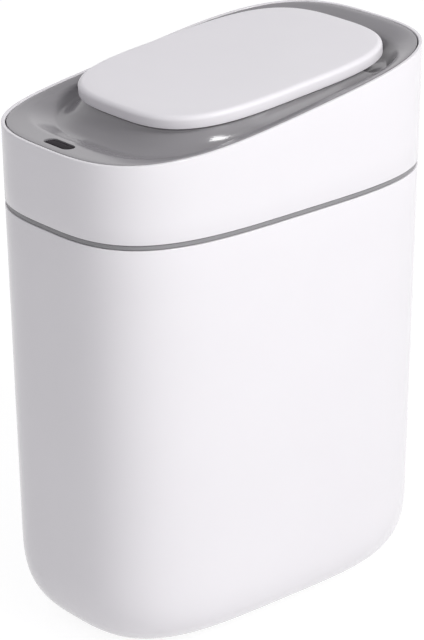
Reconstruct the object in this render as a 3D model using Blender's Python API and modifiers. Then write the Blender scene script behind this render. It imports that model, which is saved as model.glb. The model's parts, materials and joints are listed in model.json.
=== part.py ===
"""A slim sensor bin: a tapered tub, a bag ring, and a lift-off head whose
motor opens a floating lid. Metres, +Z up, the floor at zero, the sensor end
towards -Y and the lid's hinge towards +Y."""

from math import atan, ceil, copysign, cos, pi, sin, sqrt

import bmesh
import bpy
from mathutils import Matrix, Vector

# Overall body
FOOT_PROUD = 0.0012
TUB_HEIGHT = 0.2780
SEAM_HALF_WIDTH = 0.0835
SEAM_HALF_LENGTH = 0.1350
WIDTH_TAPER_SHARE = 0.0132
LENGTH_TAPER_SHARE = 0.0140
SIDE_POWER_TOP = 3.125
SIDE_POWER_BASE = 2.95
END_POWER_TOP = 3.66
END_POWER_BASE = 3.83
BASE_ROUND_RISE = 0.0581
BASE_ROUND_INSET = 0.0539
BASE_ROUND_POWER = 3.23
BASE_ROUND_SHARES = (0, 0.004, 0.02, 0.06, 0.13, 0.25, 0.42, 0.66, 1)
RING_STEPS = 48

# Clearances
SEAT_GAP = 0.0003
SHAFT_CLEARANCE = 0.0001
OVERRUN = 0.0005

# Tub, its feet and the bag ring
TUB_WALL = 0.0024
TUB_FLOOR = 0.0026
FOOT_RADIUS = 0.0070
FOOT_SIDE_MARGIN = 0.0615
FOOT_END_MARGIN = 0.0690
FOOT_EDGE = 0.0002
SEAM_HEIGHT = 0.0035
BAND_INSET = 0.0007
BAG_CLEARANCE = 0.0010
BAG_SKIRT_WALL = 0.0018
BAG_SKIRT_DEPTH = 0.0200

# Head shell, heights of its S-curved rim above the tub
RIM_FRONT_RISE = 0.0528
RIM_MID_RISE = 0.0653
RIM_REAR_RISE = 0.0825
RIM_BEND_SHARE = 0.25
HEAD_WALL = 0.0022
HEAD_EDGE_ROUND = 0.0008
LEDGE_REACH = 0.0030
LEDGE_THICKNESS = 0.0020
FLANGE_REACH = 0.0040
FLANGE_THICKNESS = 0.0020

# Tray: lip, bowl, mouth and collar
TRAY_WALL = 0.0020
TRAY_SKIRT = 0.0120
LIP_DROP = 0.0004
LIP_FALL = 0.0012
LIP_SIDE_WIDTH = 0.0075
LIP_END_WIDTH = 0.0180
SHOULDER_CENTRE_Y = 0.0035
SHOULDER_POWER_FRONT = 3.9
SHOULDER_POWER_REAR = 3.25
BOWL_SIDE_RUN = 0.0048
BOWL_END_RUN = 0.0112
FOOT_LINE_CENTRE_Y = 0.0072
FOOT_LINE_POWER_FRONT = 3.5
FOOT_LINE_POWER_REAR = 3.1
BOWL_SHARES = ((0.08, 0.09), (0.25, 0.34), (0.45, 0.60), (0.68, 0.82), (0.86, 0.95))
REAR_WALL_SHARES = ((0.14, 0.09), (0.36, 0.34), (0.60, 0.62), (0.82, 0.86), (0.93, 0.96))
FLOOR_FRONT_RISE = 0.0420
FLOOR_MID_RISE = 0.0554
FLOOR_REAR_RISE = 0.0627
FLOOR_SIDE_WIDTH = 0.0292
FLOOR_END_WIDTH = 0.0368
MOUTH_CENTRE_Y = 0.0030
MOUTH_POWER = 4.5
MOUTH_EDGE = 0.0020

# Collar round the mouth: a hollow ridge that rises to just under the lid
COLLAR_INSET = 0.0026
COLLAR_WIDTH = 0.0018
COLLAR_GAP = 0.0012
COLLAR_REAR_LENGTH = 0.0800
COLLAR_LOW_RISE = 0.0010
COLLAR_CORE_DEPTH = 0.0045
COLLAR_EDGE_STEPS = 4
RAMP_SHARES = ((0.33, 0.09), (0.60, 0.31), (0.82, 0.63))
CORNER_LIFT = 0.0100
CORNER_LOW_X = 0.0200
CORNER_HIGH_X = 0.0450

# Where changes along the tray begin and end, as distances before the hinge
COLLAR_FALL_START = 0.0310
COLLAR_FALL_END = 0.0130
REAR_WALL_START = 0.0610
REAR_WALL_END = 0.0060
CORNER_LIFT_START = 0.0430
CORNER_LIFT_END = 0.0110

# Base cover of the head
COVER_THICKNESS = 0.0020
COVER_RIB_DEPTH = 0.0054
COVER_RIB_WALL = 0.0016
COVER_RIB_CLEARANCE = 0.0005

# Screws and the bosses that take them
SCREW_SIDES = 8
SCREW_RADIUS = 0.0013
SCREW_HEAD_RADIUS = 0.0026
SCREW_HEAD_HEIGHT = 0.0014
SCREW_HEAD_EDGE = 0.0004
SCREW_LENGTH = 0.0100
BOSS_RADIUS = 0.0032
BOSS_SIDES = 12
PILOT_CLEARANCE = 0.0003
HOLE_CLEARANCE = 0.0005
FRONT_SCREW_SIDE_MARGIN = 0.0455
FRONT_SCREW_END_MARGIN = 0.0170
SIDE_SCREW_SIDE_MARGIN = 0.0275
SIDE_SCREW_SETBACK = 0.0450
REAR_SCREW_END_MARGIN = 0.0110

# Sensor in the front deck
SENSOR_END_MARGIN = 0.0135
WINDOW_LENGTH = 0.0260
WINDOW_WIDTH = 0.0080
WINDOW_THICKNESS = 0.0026
WINDOW_FLANGE = 0.0015
WINDOW_FLANGE_THICKNESS = 0.0012
WINDOW_SINK = 0.0003
PILL_STEPS = 10
SENSOR_BOARD_LENGTH = 0.0440
SENSOR_BOARD_WIDTH = 0.0120
BOARD_THICKNESS = 0.0016
SENSOR_HEIGHT = 0.0050
SENSOR_SCREW_X = 0.0180
LED_RADIUS = 0.0025
LED_OFFSET_X = 0.0050
RECEIVER_SIZE = 0.0050

# Lid, in its own frame: origin on the hinge axis, tilted with the plate
LID_SIDE_GAP = 0.0096
LID_FRONT_SETBACK = 0.0320
LID_REAR_REACH = 0.0083
LID_POWER_X = 3.14
LID_POWER_Y = 3.63
LID_TILT_SHARE = 0.0848
LID_THICKNESS = 0.0083
LID_TOP_ABOVE_AXIS = 0.0063
LID_WALL = 0.0022
LID_EDGE_ROUND = 0.0032
LID_EDGE_SHARES = ((0, 0.94), (0.14, 0.47), (0.44, 0.16))
LID_LOWER_EDGE = 0.0006
HINGE_SETBACK = 0.0195
HINGE_RISE = 0.0780
SHAFT_RADIUS = 0.0015
SHAFT_SIDES = 16
LINER_THICKNESS = 0.0016
LINER_SINK = 0.0002

# Hinge arms on the tray and the bracket on the lid
ARM_CENTRE_SHARE = 0.33133
ARM_WIDTH = 0.0040
ARM_RADIUS = 0.0033
ARM_REACH = 0.0200
ARM_POST = 0.0070
ARM_STEPS = 8
ARM_SLOT_CLEARANCE = 0.0003
ARM_END_CLEARANCE = 0.0014
BRACKET_SIDE_MARGIN = 0.0017
BRACKET_WIDE_REAR = 0.0120
BRACKET_REACH = 0.0255
BRACKET_REAR = 0.0034
BRACKET_THICKNESS = 0.0018
LUG_INNER_WIDTH = 0.0048
LUG_OUTER_WIDTH = 0.0040
LID_BOSS_RADIUS = 0.0028
LID_SCREW_RADIUS = 0.0010
LID_SCREW_LENGTH = 0.0056
BRACKET_SCREW_X = 0.0090
BRACKET_SCREW_OFFSET = 0.0052
BRACKET_SCREW_Y = 0.0195
LINER_SCREW_SIDE_MARGIN = 0.0364
LINER_SCREW_END_MARGIN = 0.0225

# Gears: module is the pitch diameter per tooth
LID_MODULE = 0.0008
GEAR_MODULE = 0.0005
SECTOR_TEETH = 30
SECTOR_TEETH_CUT = 10
OUTPUT_PINION_TEETH = 12
OUTPUT_WHEEL_TEETH = 24
SECOND_PINION_TEETH = 12
SECOND_WHEEL_TEETH = 28
FIRST_PINION_TEETH = 10
FIRST_WHEEL_TEETH = 28
MOTOR_PINION_TEETH = 10
TIP_SHARE = 0.9
ROOT_SHARE = 1.15
TOOTH_TIP_SHARE = 0.20
TOOTH_ROOT_SHARE = 0.60
SECTOR_HALF_FACE = 0.0020
OUTPUT_HALF_FACE = 0.0022
OUTPUT_WHEEL_FACE = 0.0025
PINION_FACE = 0.0025
WHEEL_FACE = 0.0022
GEAR_SIDE_GAP = 0.0004
GEAR_HUB_RADIUS = 0.0017
AXLE_RADIUS = 0.00075
AXLE_SIDES = 12

# Gearbox and motor
CASE_HALF_WIDTH = 0.0090
CASE_WALL = 0.0015
CASE_HALF_DEPTH = 0.0095
CASE_MARGIN = 0.0025
TOWER_RADIUS = 0.0045
TAB_LENGTH = 0.0100
TAB_WIDTH = 0.0100
TAB_THICKNESS = 0.0020
TAB_DROP = 0.0042
MOTOR_RADIUS = 0.0100
MOTOR_HALF_FLAT = 0.0077
MOTOR_LENGTH = 0.0250
MOTOR_SHAFT_RADIUS = 0.0010
MOTOR_BORE_DEPTH = 0.0110
MOTOR_END_RADIUS = 0.0040
MOTOR_END_HEIGHT = 0.0015

# Batteries, their box and door
CELL_LENGTH = 0.0505
CELL_RADIUS = 0.0071
CELL_NUB_RADIUS = 0.00275
CELL_NUB_HEIGHT = 0.0012
CELL_PITCH = 0.0152
CELL_SIDES = 20
BOX_CENTRE_X = -0.0261
BOX_MOUTH_MARGIN = 0.0211
BOX_WALL = 0.0015
CELL_HEADROOM = 0.0010
SPRING_LENGTH = 0.0044
SPRING_RADIUS = 0.0038
SPRING_TIP_RADIUS = 0.0024
SPRING_WIRE_RADIUS = 0.00030
SPRING_TURNS = 3
SPRING_TURN_POINTS = 8
CONTACT_THICKNESS = 0.0004
CONTACT_SIZE = 0.0100
DOOR_HINGE_RADIUS = 0.0010
DOOR_LIP = 0.0017

# Control board, switch and leads
BOARD_BOX_GAP = 0.0030
BOARD_SIDE_MARGIN = 0.0265
BOARD_WIDTH = 0.0280
BOARD_SETBACK = 0.0050
BOARD_STANDOFF = 0.0040
BOARD_SCREW_MARGIN = 0.0040
STANDOFF_RADIUS = 0.0024
CHIP_SIZE = 0.0100
CHIP_HEIGHT = 0.0016
CONNECTOR_LENGTH = 0.0080
CONNECTOR_WIDTH = 0.0050
CONNECTOR_HEIGHT = 0.0060
CAPACITOR_RADIUS = 0.0030
CAPACITOR_HEIGHT = 0.0080
SWITCH_SIDE_MARGIN = 0.0275
SWITCH_Y = 0.0200
SWITCH_LENGTH = 0.0120
SWITCH_WIDTH = 0.0080
SWITCH_HEIGHT = 0.0060
KNOB_LENGTH = 0.0040
KNOB_WIDTH = 0.0030
KNOB_PROUD = 0.0010
KNOB_TRAVEL = 0.0030
LEAD_RADIUS = 0.0012
LEAD_RISE = 0.0040

# Points (x, y, height above the cover) that each lead runs through
SENSOR_LEAD_ROUTE = (
    (0.0270, -0.1205, 0.0325), (0.0310, -0.1150, 0.0230), (0.0345, -0.1085, 0.0080),
    (0.0400, -0.1010, 0.0022), (0.0500, -0.0850, 0.0016), (0.0620, -0.0600, 0.0016),
    (0.0680, -0.0200, 0.0016), (0.0700, 0.0200, 0.0016), (0.0700, 0.0550, 0.0016),
    (0.0660, 0.0780, 0.0022), (0.0620, 0.0900, 0.0100), (0.0510, 0.1030, 0.0170),
)
MOTOR_LEAD_ROUTE = (
    (0.0400, 0.0895, 0.0310), (0.0438, 0.0915, 0.0270), (0.0455, 0.0945, 0.0190),
)
BATTERY_LEAD_ROUTE = (
    (-0.0060, 0.0960, 0.0196), (-0.0010, 0.0980, 0.0196), (0.0060, 0.1010, 0.0196),
    (0.0150, 0.1040, 0.0190), (0.0210, 0.1050, 0.0178),
)

# Heights and places that follow from the sizes above
TUB_TOP = FOOT_PROUD + TUB_HEIGHT
HEAD_BOTTOM = TUB_TOP + SEAM_HEIGHT
COVER_LOW = HEAD_BOTTOM + SEAT_GAP
COVER_TOP = COVER_LOW + COVER_THICKNESS
FLANGE_LOW = COVER_TOP + SEAT_GAP
SHOULDER_HALF_WIDTH = SEAM_HALF_WIDTH - LIP_SIDE_WIDTH
SHOULDER_HALF_LENGTH = SEAM_HALF_LENGTH - LIP_END_WIDTH
FOOT_LINE_HALF_WIDTH = SHOULDER_HALF_WIDTH - BOWL_SIDE_RUN
FOOT_LINE_HALF_LENGTH = SHOULDER_HALF_LENGTH - BOWL_END_RUN
MOUTH_HALF_WIDTH = FOOT_LINE_HALF_WIDTH - FLOOR_SIDE_WIDTH
MOUTH_HALF_LENGTH = FOOT_LINE_HALF_LENGTH - FLOOR_END_WIDTH
HINGE_Y = SHOULDER_CENTRE_Y + SHOULDER_HALF_LENGTH - HINGE_SETBACK
HINGE_Z = TUB_TOP + HINGE_RISE
LID_HALF_WIDTH = SHOULDER_HALF_WIDTH - LID_SIDE_GAP
LID_FRONT_REACH = HINGE_Y + SHOULDER_HALF_LENGTH - SHOULDER_CENTRE_Y - LID_FRONT_SETBACK
LID_HALF_LENGTH = (LID_FRONT_REACH + LID_REAR_REACH) / 2
ARM_CENTRE_X = ARM_CENTRE_SHARE * LID_HALF_WIDTH
LUG_REACH = ARM_CENTRE_X + ARM_WIDTH / 2 + ARM_SLOT_CLEARANCE + LUG_OUTER_WIDTH
BRACKET_HALF_WIDTH = LUG_REACH + BRACKET_SIDE_MARGIN
LINER_SCREW_X = LID_HALF_WIDTH - LINER_SCREW_SIDE_MARGIN
LINER_SCREW_Y = LID_FRONT_REACH - LINER_SCREW_END_MARGIN
FRONT_SCREW_X = SEAM_HALF_WIDTH - FRONT_SCREW_SIDE_MARGIN
FRONT_SCREW_Y = FRONT_SCREW_END_MARGIN - SEAM_HALF_LENGTH
SIDE_SCREW_X = SEAM_HALF_WIDTH - SIDE_SCREW_SIDE_MARGIN
SIDE_SCREW_Y = HINGE_Y - SIDE_SCREW_SETBACK
REAR_SCREW_Y = SEAM_HALF_LENGTH - REAR_SCREW_END_MARGIN
SENSOR_Y = SENSOR_END_MARGIN - SEAM_HALF_LENGTH
BOX_CENTRE_Y = MOUTH_CENTRE_Y + MOUTH_HALF_LENGTH + BOX_MOUTH_MARGIN
BOX_INNER_LENGTH = CELL_LENGTH + SPRING_LENGTH + 2 * CONTACT_THICKNESS + 5 * SEAT_GAP
BOARD_LOW_X = BOX_CENTRE_X + BOX_INNER_LENGTH / 2 + BOX_WALL + BOARD_BOX_GAP
BOARD_LENGTH = SEAM_HALF_WIDTH - BOARD_SIDE_MARGIN - BOARD_LOW_X
BOARD_CENTRE_Y = HINGE_Y - BOARD_SETBACK
SWITCH_X = SEAM_HALF_WIDTH - SWITCH_SIDE_MARGIN
LID_TILT = atan(LID_TILT_SHARE)
LID_CENTRE_Y = LID_HALF_LENGTH - LID_FRONT_REACH
LID_BOTTOM = LID_TOP_ABOVE_AXIS - LID_THICKNESS
LID_INNER_TOP = LID_TOP_ABOVE_AXIS - LID_WALL
MESH_ANGLE = -3 * pi / 4

WHITE = "shell_white"
LID_WHITE = "lid_white"
GRAY = "tray_gray"
BAND = "band_gray"
DARK = "window_dark"
RUBBER = "foot_rubber"
NATURAL = "nylon_natural"
BLACK = "plastic_black"
STEEL = "steel"
BOARD = "board_green"
CELL = "cell_jacket"
LEAD = "lead_black"

MATERIALS = {
    WHITE: ((0.91, 0.90, 0.92), 0.22, 0.0),
    LID_WHITE: ((0.88, 0.87, 0.89), 0.40, 0.0),
    GRAY: ((0.36, 0.36, 0.37), 0.25, 0.0),
    BAND: ((0.27, 0.27, 0.28), 0.45, 0.0),
    DARK: ((0.02, 0.016, 0.022), 0.12, 0.0),
    RUBBER: ((0.10, 0.10, 0.10), 0.80, 0.0),
    NATURAL: ((0.80, 0.78, 0.72), 0.45, 0.0),
    BLACK: ((0.04, 0.04, 0.045), 0.50, 0.0),
    STEEL: ((0.62, 0.62, 0.63), 0.30, 1.0),
    BOARD: ((0.03, 0.20, 0.08), 0.45, 0.0),
    CELL: ((0.16, 0.22, 0.30), 0.35, 0.0),
    LEAD: ((0.03, 0.03, 0.03), 0.55, 0.0),
}

YZ_PLANE = Matrix(((0, 0, 1), (1, 0, 0), (0, 1, 0)))
XY_PLANE = Matrix.Identity(3)


def clear_scene():
    """Remove every object of the open scene."""
    for item in list(bpy.data.objects):
        bpy.data.objects.remove(item, do_unlink=True)


def make_collection(name):
    """A new collection under the scene."""
    group = bpy.data.collections.new(name)
    bpy.context.scene.collection.children.link(group)
    return group


clear_scene()
PARTS = make_collection("sensor_bin")
CUTTERS = make_collection("cutters")


def material(slot, name):
    """A Principled material of its own for one part, from its slot's values."""
    colour, roughness, metallic = MATERIALS[slot]
    made = bpy.data.materials.new(name + "_" + slot)
    made.use_nodes = True
    shader = made.node_tree.nodes["Principled BSDF"]
    shader.inputs["Base Color"].default_value = (*colour, 1)
    shader.inputs["Roughness"].default_value = roughness
    shader.inputs["Metallic"].default_value = metallic
    made.diffuse_color = (*colour, 1)
    return made


def add_object(name, mesh, slot=None, parent=None, place=(0, 0, 0)):
    """Link a mesh as a part, or as a hidden cutter when it has no slot."""
    item = bpy.data.objects.new(name, mesh)
    item.location = place
    item.parent = parent
    if slot is None:
        CUTTERS.objects.link(item)
        item.hide_render = True
        item.display_type = "WIRE"
        return item
    PARTS.objects.link(item)
    mesh.materials.append(material(slot, name))
    mesh.shade_smooth()
    mesh.set_sharp_from_angle(angle=pi / 6)
    return item


def mesh_from(name, shape):
    """Turn a bmesh into a mesh with its faces pointing out."""
    bmesh.ops.recalc_face_normals(shape, faces=shape.faces)
    mesh = bpy.data.meshes.new(name)
    shape.to_mesh(mesh)
    shape.free()
    return mesh


def loft(name, rings, closed=False):
    """A mesh through rings of points: a loop of rings, or a capped stack."""
    shape = bmesh.new()
    levels = [[shape.verts.new(point) for point in ring] for ring in rings]
    pairs = list(zip(levels, levels[1:]))
    if closed:
        pairs.append((levels[-1], levels[0]))
    else:
        shape.faces.new(levels[0])
        shape.faces.new(levels[-1])
    for lower, upper in pairs:
        for index, corner in enumerate(lower):
            after = (index + 1) % len(lower)
            shape.faces.new((corner, lower[after], upper[after], upper[index]))
    return mesh_from(name, shape)


def block(name, low, high):
    """A box between two corners."""
    shape = bmesh.new()
    bmesh.ops.create_cube(shape, size=1)
    low, high = Vector(low), Vector(high)
    for vert in shape.verts:
        share = vert.co + Vector((0.5, 0.5, 0.5))
        vert.co = low + Vector(share[axis] * (high - low)[axis] for axis in range(3))
    return mesh_from(name, shape)


def drum(name, centre, radius, low, high, sides, axis="Z"):
    """A cylinder along X or Z; centre holds its other two coordinates."""
    shape = bmesh.new()
    bmesh.ops.create_cone(shape, cap_ends=True, segments=sides,
                          radius1=radius, radius2=radius, depth=high - low)
    middle = (low + high) / 2
    half_side = Matrix.Rotation(pi / sides, 4, "Z")
    if axis == "X":
        matrix = Matrix.Translation((middle, *centre)) @ YZ_PLANE.to_4x4() @ half_side
    else:
        matrix = Matrix.Translation((*centre, middle)) @ half_side
    bmesh.ops.transform(shape, matrix=matrix, verts=shape.verts)
    return mesh_from(name, shape)


def plate(name, outline, low, high, plane=YZ_PLANE):
    """A flat outline filled and extruded from low to high across its plane."""
    curve = bpy.data.curves.new(name, "CURVE")
    curve.dimensions = "2D"
    curve.fill_mode = "BOTH"
    curve.extrude = (high - low) / 2
    spline = curve.splines.new("POLY")
    spline.points.add(len(outline) - 1)
    for point, (first, second) in zip(spline.points, outline):
        point.co = (first, second, 0, 1)
    spline.use_cyclic_u = True
    offset = plane @ Vector((0, 0, (low + high) / 2))
    return mesh_of_curve(name, curve, Matrix.Translation(offset) @ plane.to_4x4())


def mesh_of_curve(name, curve, matrix):
    """The closed mesh that a curve evaluates to, placed by a matrix."""
    holder = bpy.data.objects.new(name, curve)
    bpy.context.scene.collection.objects.link(holder)
    graph = bpy.context.evaluated_depsgraph_get()
    raw = bpy.data.meshes.new_from_object(holder.evaluated_get(graph))
    bpy.data.objects.remove(holder, do_unlink=True)
    shape = bmesh.new()
    shape.from_mesh(raw)
    bmesh.ops.remove_doubles(shape, verts=shape.verts, dist=SEAT_GAP / 100)
    bmesh.ops.transform(shape, matrix=matrix, verts=shape.verts)
    return mesh_from(name, shape)


def tube(name, points, radius, resolution=1):
    """A round wire or lead along a list of points."""
    curve = bpy.data.curves.new(name, "CURVE")
    curve.dimensions = "3D"
    curve.bevel_depth = radius
    curve.bevel_resolution = resolution
    curve.use_fill_caps = True
    spline = curve.splines.new("POLY")
    spline.points.add(len(points) - 1)
    for point, place in zip(spline.points, points):
        point.co = (*place, 1)
    return mesh_of_curve(name, curve, Matrix.Identity(4))


def smooth_route(points, pieces=3):
    """Points along a smooth curve through a route's own points."""
    points = [Vector(point) for point in points]
    ends = [points[0]] + points + [points[-1]]
    route = []
    for before, start, finish, after in zip(ends, ends[1:], ends[2:], ends[3:]):
        leave, arrive = (finish - before) / 2, (after - start) / 2
        for step in range(pieces):
            t = step / pieces
            route.append((2 * t**3 - 3 * t**2 + 1) * start + (t**3 - 2 * t**2 + t) * leave
                         + (3 * t**2 - 2 * t**3) * finish + (t**3 - t**2) * arrive)
    return route + [points[-1]]


def turned(name, profile, sides, slot, place=(0, 0, 0), parent=None, turn=None):
    """A turned part: a profile of (radius, height) pairs, top to bottom."""
    shape = bmesh.new()
    verts = [shape.verts.new((radius, 0, height)) for radius, height in profile]
    for start, finish in zip(verts, verts[1:]):
        shape.edges.new((start, finish))
    mesh = bpy.data.meshes.new(name)
    shape.to_mesh(mesh)
    shape.free()
    item = add_object(name, mesh, slot, parent, place)
    if turn is not None:
        item.rotation_euler = turn
    screw = item.modifiers.new("turn", "SCREW")
    screw.axis = "Z"
    screw.steps = sides
    screw.render_steps = sides
    screw.use_merge_vertices = True
    screw.merge_threshold = SEAT_GAP / 100
    screw.use_smooth_shade = True
    return item


def boolean(item, mesh, operation, parent=None, place=(0, 0, 0)):
    """Join a mesh to a part, or cut it away, by a Boolean modifier."""
    tool = add_object(item.name + "_" + mesh.name, mesh, None, parent, place)
    step = item.modifiers.new(mesh.name, "BOOLEAN")
    step.operation = operation
    step.object = tool
    step.show_render = step.show_viewport


def join(item, mesh, **where):
    boolean(item, mesh, "UNION", **where)


def cut(item, mesh, **where):
    boolean(item, mesh, "DIFFERENCE", **where)


def spread(value, power):
    """One coordinate of a superellipse, as a share of its half size."""
    return copysign(abs(value) ** (2 / power), value)


def oval(half_width, half_length, power_x, power_y, centre_y=0, power_rear=None):
    """Points of a superellipse; every outline steps through the same angles."""
    points = []
    for step in range(RING_STEPS):
        angle = 2 * pi * step / RING_STEPS
        along, across = sin(angle), cos(angle)
        rear = power_rear if power_rear and along > 0 else None
        points.append((half_width * spread(across, rear or power_x),
                       centre_y + half_length * spread(along, rear or power_y)))
    return points


def share_of_tub(height):
    """How far up the tub a height lies, from 0 at its base to 1 at its top."""
    return min(max((height - FOOT_PROUD) / TUB_HEIGHT, 0), 1)


def body_oval(inset, height):
    """The tapered body's outline at a height, drawn in by an inset."""
    share = share_of_tub(height)
    above = height - TUB_TOP
    return oval(SEAM_HALF_WIDTH + above * WIDTH_TAPER_SHARE - inset,
                SEAM_HALF_LENGTH + above * LENGTH_TAPER_SHARE - inset,
                SIDE_POWER_BASE + (SIDE_POWER_TOP - SIDE_POWER_BASE) * share,
                END_POWER_BASE + (END_POWER_TOP - END_POWER_BASE) * share)


def level_ring(inset, height):
    """A level ring of the body's outline."""
    return [(x, y, height) for x, y in body_oval(inset, height)]


def curve_height(y, front, middle, rear, bend_share=0):
    """A height along the length, through given heights at both ends and the middle."""
    t = y / SEAM_HALF_LENGTH
    climb = (rear - front) / 2 * ((1 + bend_share) * t - bend_share * t**3)
    return middle + climb + ((rear + front) / 2 - middle) * t**2


def rim_z(y):
    """Height of the head's rim."""
    return TUB_TOP + curve_height(y, RIM_FRONT_RISE, RIM_MID_RISE, RIM_REAR_RISE, RIM_BEND_SHARE)


def floor_z(y):
    """Height of the bowl's floor."""
    return TUB_TOP + curve_height(y, FLOOR_FRONT_RISE, FLOOR_MID_RISE, FLOOR_REAR_RISE)


def rim_ring(inset, drop):
    """A ring of the body's outline that follows the rim, a drop below it."""
    ring = []
    for index in range(RING_STEPS):
        height = TUB_TOP + RIM_MID_RISE
        for _ in range(3):
            x, y = body_oval(inset, height)[index]
            height = rim_z(y) - drop
        ring.append((x, y, height))
    return ring


def raised(outline, height):
    """An outline lifted to a height that depends on y."""
    return [(x, y, height(y)) for x, y in outline]


def base_inset(share):
    """How far the rounded base draws in at a share of its rise."""
    down = (1 - share) ** BASE_ROUND_POWER
    return BASE_ROUND_INSET * (1 - (1 - down) ** (1 / BASE_ROUND_POWER))


def build_tub():
    """The tapered tub with its rounded base and four feet."""
    outside = []
    inside = []
    for share in BASE_ROUND_SHARES:
        outside.append(level_ring(base_inset(share), FOOT_PROUD + share * BASE_ROUND_RISE))
        inner_rise = TUB_FLOOR + share * (BASE_ROUND_RISE - TUB_FLOOR)
        inside.append(level_ring(base_inset(share) + TUB_WALL, FOOT_PROUD + inner_rise))
    rings = outside + [level_ring(0, TUB_TOP), level_ring(TUB_WALL, TUB_TOP)] + inside[::-1]
    add_object("outer_tub", loft("outer_tub", rings), WHITE)
    top = FOOT_PROUD - SEAT_GAP
    profile = ((0, top), (FOOT_RADIUS, top), (FOOT_RADIUS, FOOT_EDGE),
               (FOOT_RADIUS - FOOT_EDGE, 0), (0, 0))
    foot_x, foot_y = SEAM_HALF_WIDTH - FOOT_SIDE_MARGIN, SEAM_HALF_LENGTH - FOOT_END_MARGIN
    for end, y in (("front", -foot_y), ("rear", foot_y)):
        for side, x in (("left", -foot_x), ("right", foot_x)):
            turned("foot_pad_" + end + "_" + side, profile, BOSS_SIDES, RUBBER, (x, y, 0))


def skirt_insets():
    """Outer and inner insets of the bag ring's skirt."""
    outer = TUB_WALL + BAG_CLEARANCE
    return outer, outer + BAG_SKIRT_WALL


def build_bag_ring():
    """The grey ring between tub and head, with the skirt that holds the bag."""
    outer, inner = skirt_insets()
    low, high = TUB_TOP + SEAT_GAP, HEAD_BOTTOM - SEAT_GAP
    foot = TUB_TOP - BAG_SKIRT_DEPTH
    rings = [level_ring(BAND_INSET, low), level_ring(BAND_INSET, high), level_ring(inner, high),
             level_ring(inner, foot), level_ring(outer, foot), level_ring(outer, low)]
    add_object("bag_ring", loft("bag_ring", rings, closed=True), BAND)


def build_head_shell():
    """The white band: rounded rim, a ledge for the tray, a flange for the cover."""
    ledge = TRAY_SKIRT + LIP_DROP + SEAT_GAP
    under = ledge + LEDGE_THICKNESS
    flange_top = FLANGE_LOW + FLANGE_THICKNESS
    rings = [
        level_ring(0, HEAD_BOTTOM),
        rim_ring(0, HEAD_EDGE_ROUND),
        rim_ring(HEAD_EDGE_ROUND / 2, 0),
        rim_ring(HEAD_WALL - HEAD_EDGE_ROUND / 2, 0),
        rim_ring(HEAD_WALL, HEAD_EDGE_ROUND / 2),
        rim_ring(HEAD_WALL, ledge),
        rim_ring(HEAD_WALL + LEDGE_REACH, ledge),
        rim_ring(HEAD_WALL + LEDGE_REACH, under),
        rim_ring(HEAD_WALL, under + LEDGE_REACH),
        level_ring(HEAD_WALL, flange_top),
        level_ring(HEAD_WALL + FLANGE_REACH, flange_top),
        level_ring(HEAD_WALL + FLANGE_REACH, FLANGE_LOW),
        level_ring(HEAD_WALL, FLANGE_LOW),
        level_ring(HEAD_WALL, HEAD_BOTTOM),
    ]
    add_object("head_shell", loft("head_shell", rings, closed=True), WHITE)


def shoulder_outline(grow=0):
    """Where the tray's lip turns down into the bowl."""
    return oval(SHOULDER_HALF_WIDTH + grow, SHOULDER_HALF_LENGTH + grow, SHOULDER_POWER_FRONT,
                SHOULDER_POWER_FRONT, SHOULDER_CENTRE_Y, SHOULDER_POWER_REAR)


def foot_line_outline(grow=0):
    """The bowl's lowest line, where its wall meets the collar's ramp."""
    return oval(FOOT_LINE_HALF_WIDTH + grow, FOOT_LINE_HALF_LENGTH + grow, FOOT_LINE_POWER_FRONT,
                FOOT_LINE_POWER_FRONT, FOOT_LINE_CENTRE_Y, FOOT_LINE_POWER_REAR)


def mouth_outline(grow=0):
    """The opening that waste drops through."""
    return oval(MOUTH_HALF_WIDTH + grow, MOUTH_HALF_LENGTH + grow, MOUTH_POWER, MOUTH_POWER,
                MOUTH_CENTRE_Y)


def collar_outline(inset):
    """The lid's own outline drawn in, cut short behind the lid's middle."""
    centre = HINGE_Y + LID_CENTRE_Y
    front = oval(LID_HALF_WIDTH - inset, LID_HALF_LENGTH - inset, LID_POWER_X, LID_POWER_Y, centre)
    rear = oval(LID_HALF_WIDTH - inset, COLLAR_REAR_LENGTH + COLLAR_INSET - inset,
                LID_POWER_X, LID_POWER_Y, centre)
    return [far if far[1] > centre else near for near, far in zip(front, rear)]


def lip_z(y):
    """Height of the lip's inner edge."""
    return rim_z(y) - LIP_FALL


def fade(place, start, end):
    """0 up to a start, 1 from an end, smooth between."""
    share = min(max((place - start) / (end - start), 0), 1)
    return share * share * (3 - 2 * share)


def collar_z(y):
    """Top of the collar: a gap under the closed lid, low where the hinge works."""
    high = HINGE_Z + (y - HINGE_Y) * LID_TILT_SHARE + LID_BOTTOM - COLLAR_GAP
    low = floor_z(y) + COLLAR_LOW_RISE
    return high + (low - high) * fade(y, HINGE_Y - COLLAR_FALL_START, HINGE_Y - COLLAR_FALL_END)


def core_z(y):
    """Ceiling of the hollow under the collar."""
    return max(collar_z(y) - COLLAR_CORE_DEPTH, floor_z(y) - TRAY_WALL)


def foot_ring(grow, drop):
    """A ring along the foot line, which climbs in the rear corners."""
    ring = []
    for x, y in foot_line_outline(grow):
        lift = CORNER_LIFT * fade(y, HINGE_Y - CORNER_LIFT_START, HINGE_Y - CORNER_LIFT_END)
        ring.append((x, y, floor_z(y) + lift * fade(abs(x), CORNER_LOW_X, CORNER_HIGH_X) - drop))
    return ring


def part_way(start, finish, inward, down):
    """A point some way from one point to another, in plan and in height."""
    x, y = (start[axis] + (finish[axis] - start[axis]) * inward for axis in range(2))
    return x, y, start[2] + (finish[2] - start[2]) * down


def ramp_rings(foot, top):
    """Rings on the ramp from the foot line up to the collar."""
    return [[part_way(start, finish, inward, up) for start, finish in zip(foot, top)]
            for inward, up in RAMP_SHARES]


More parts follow.
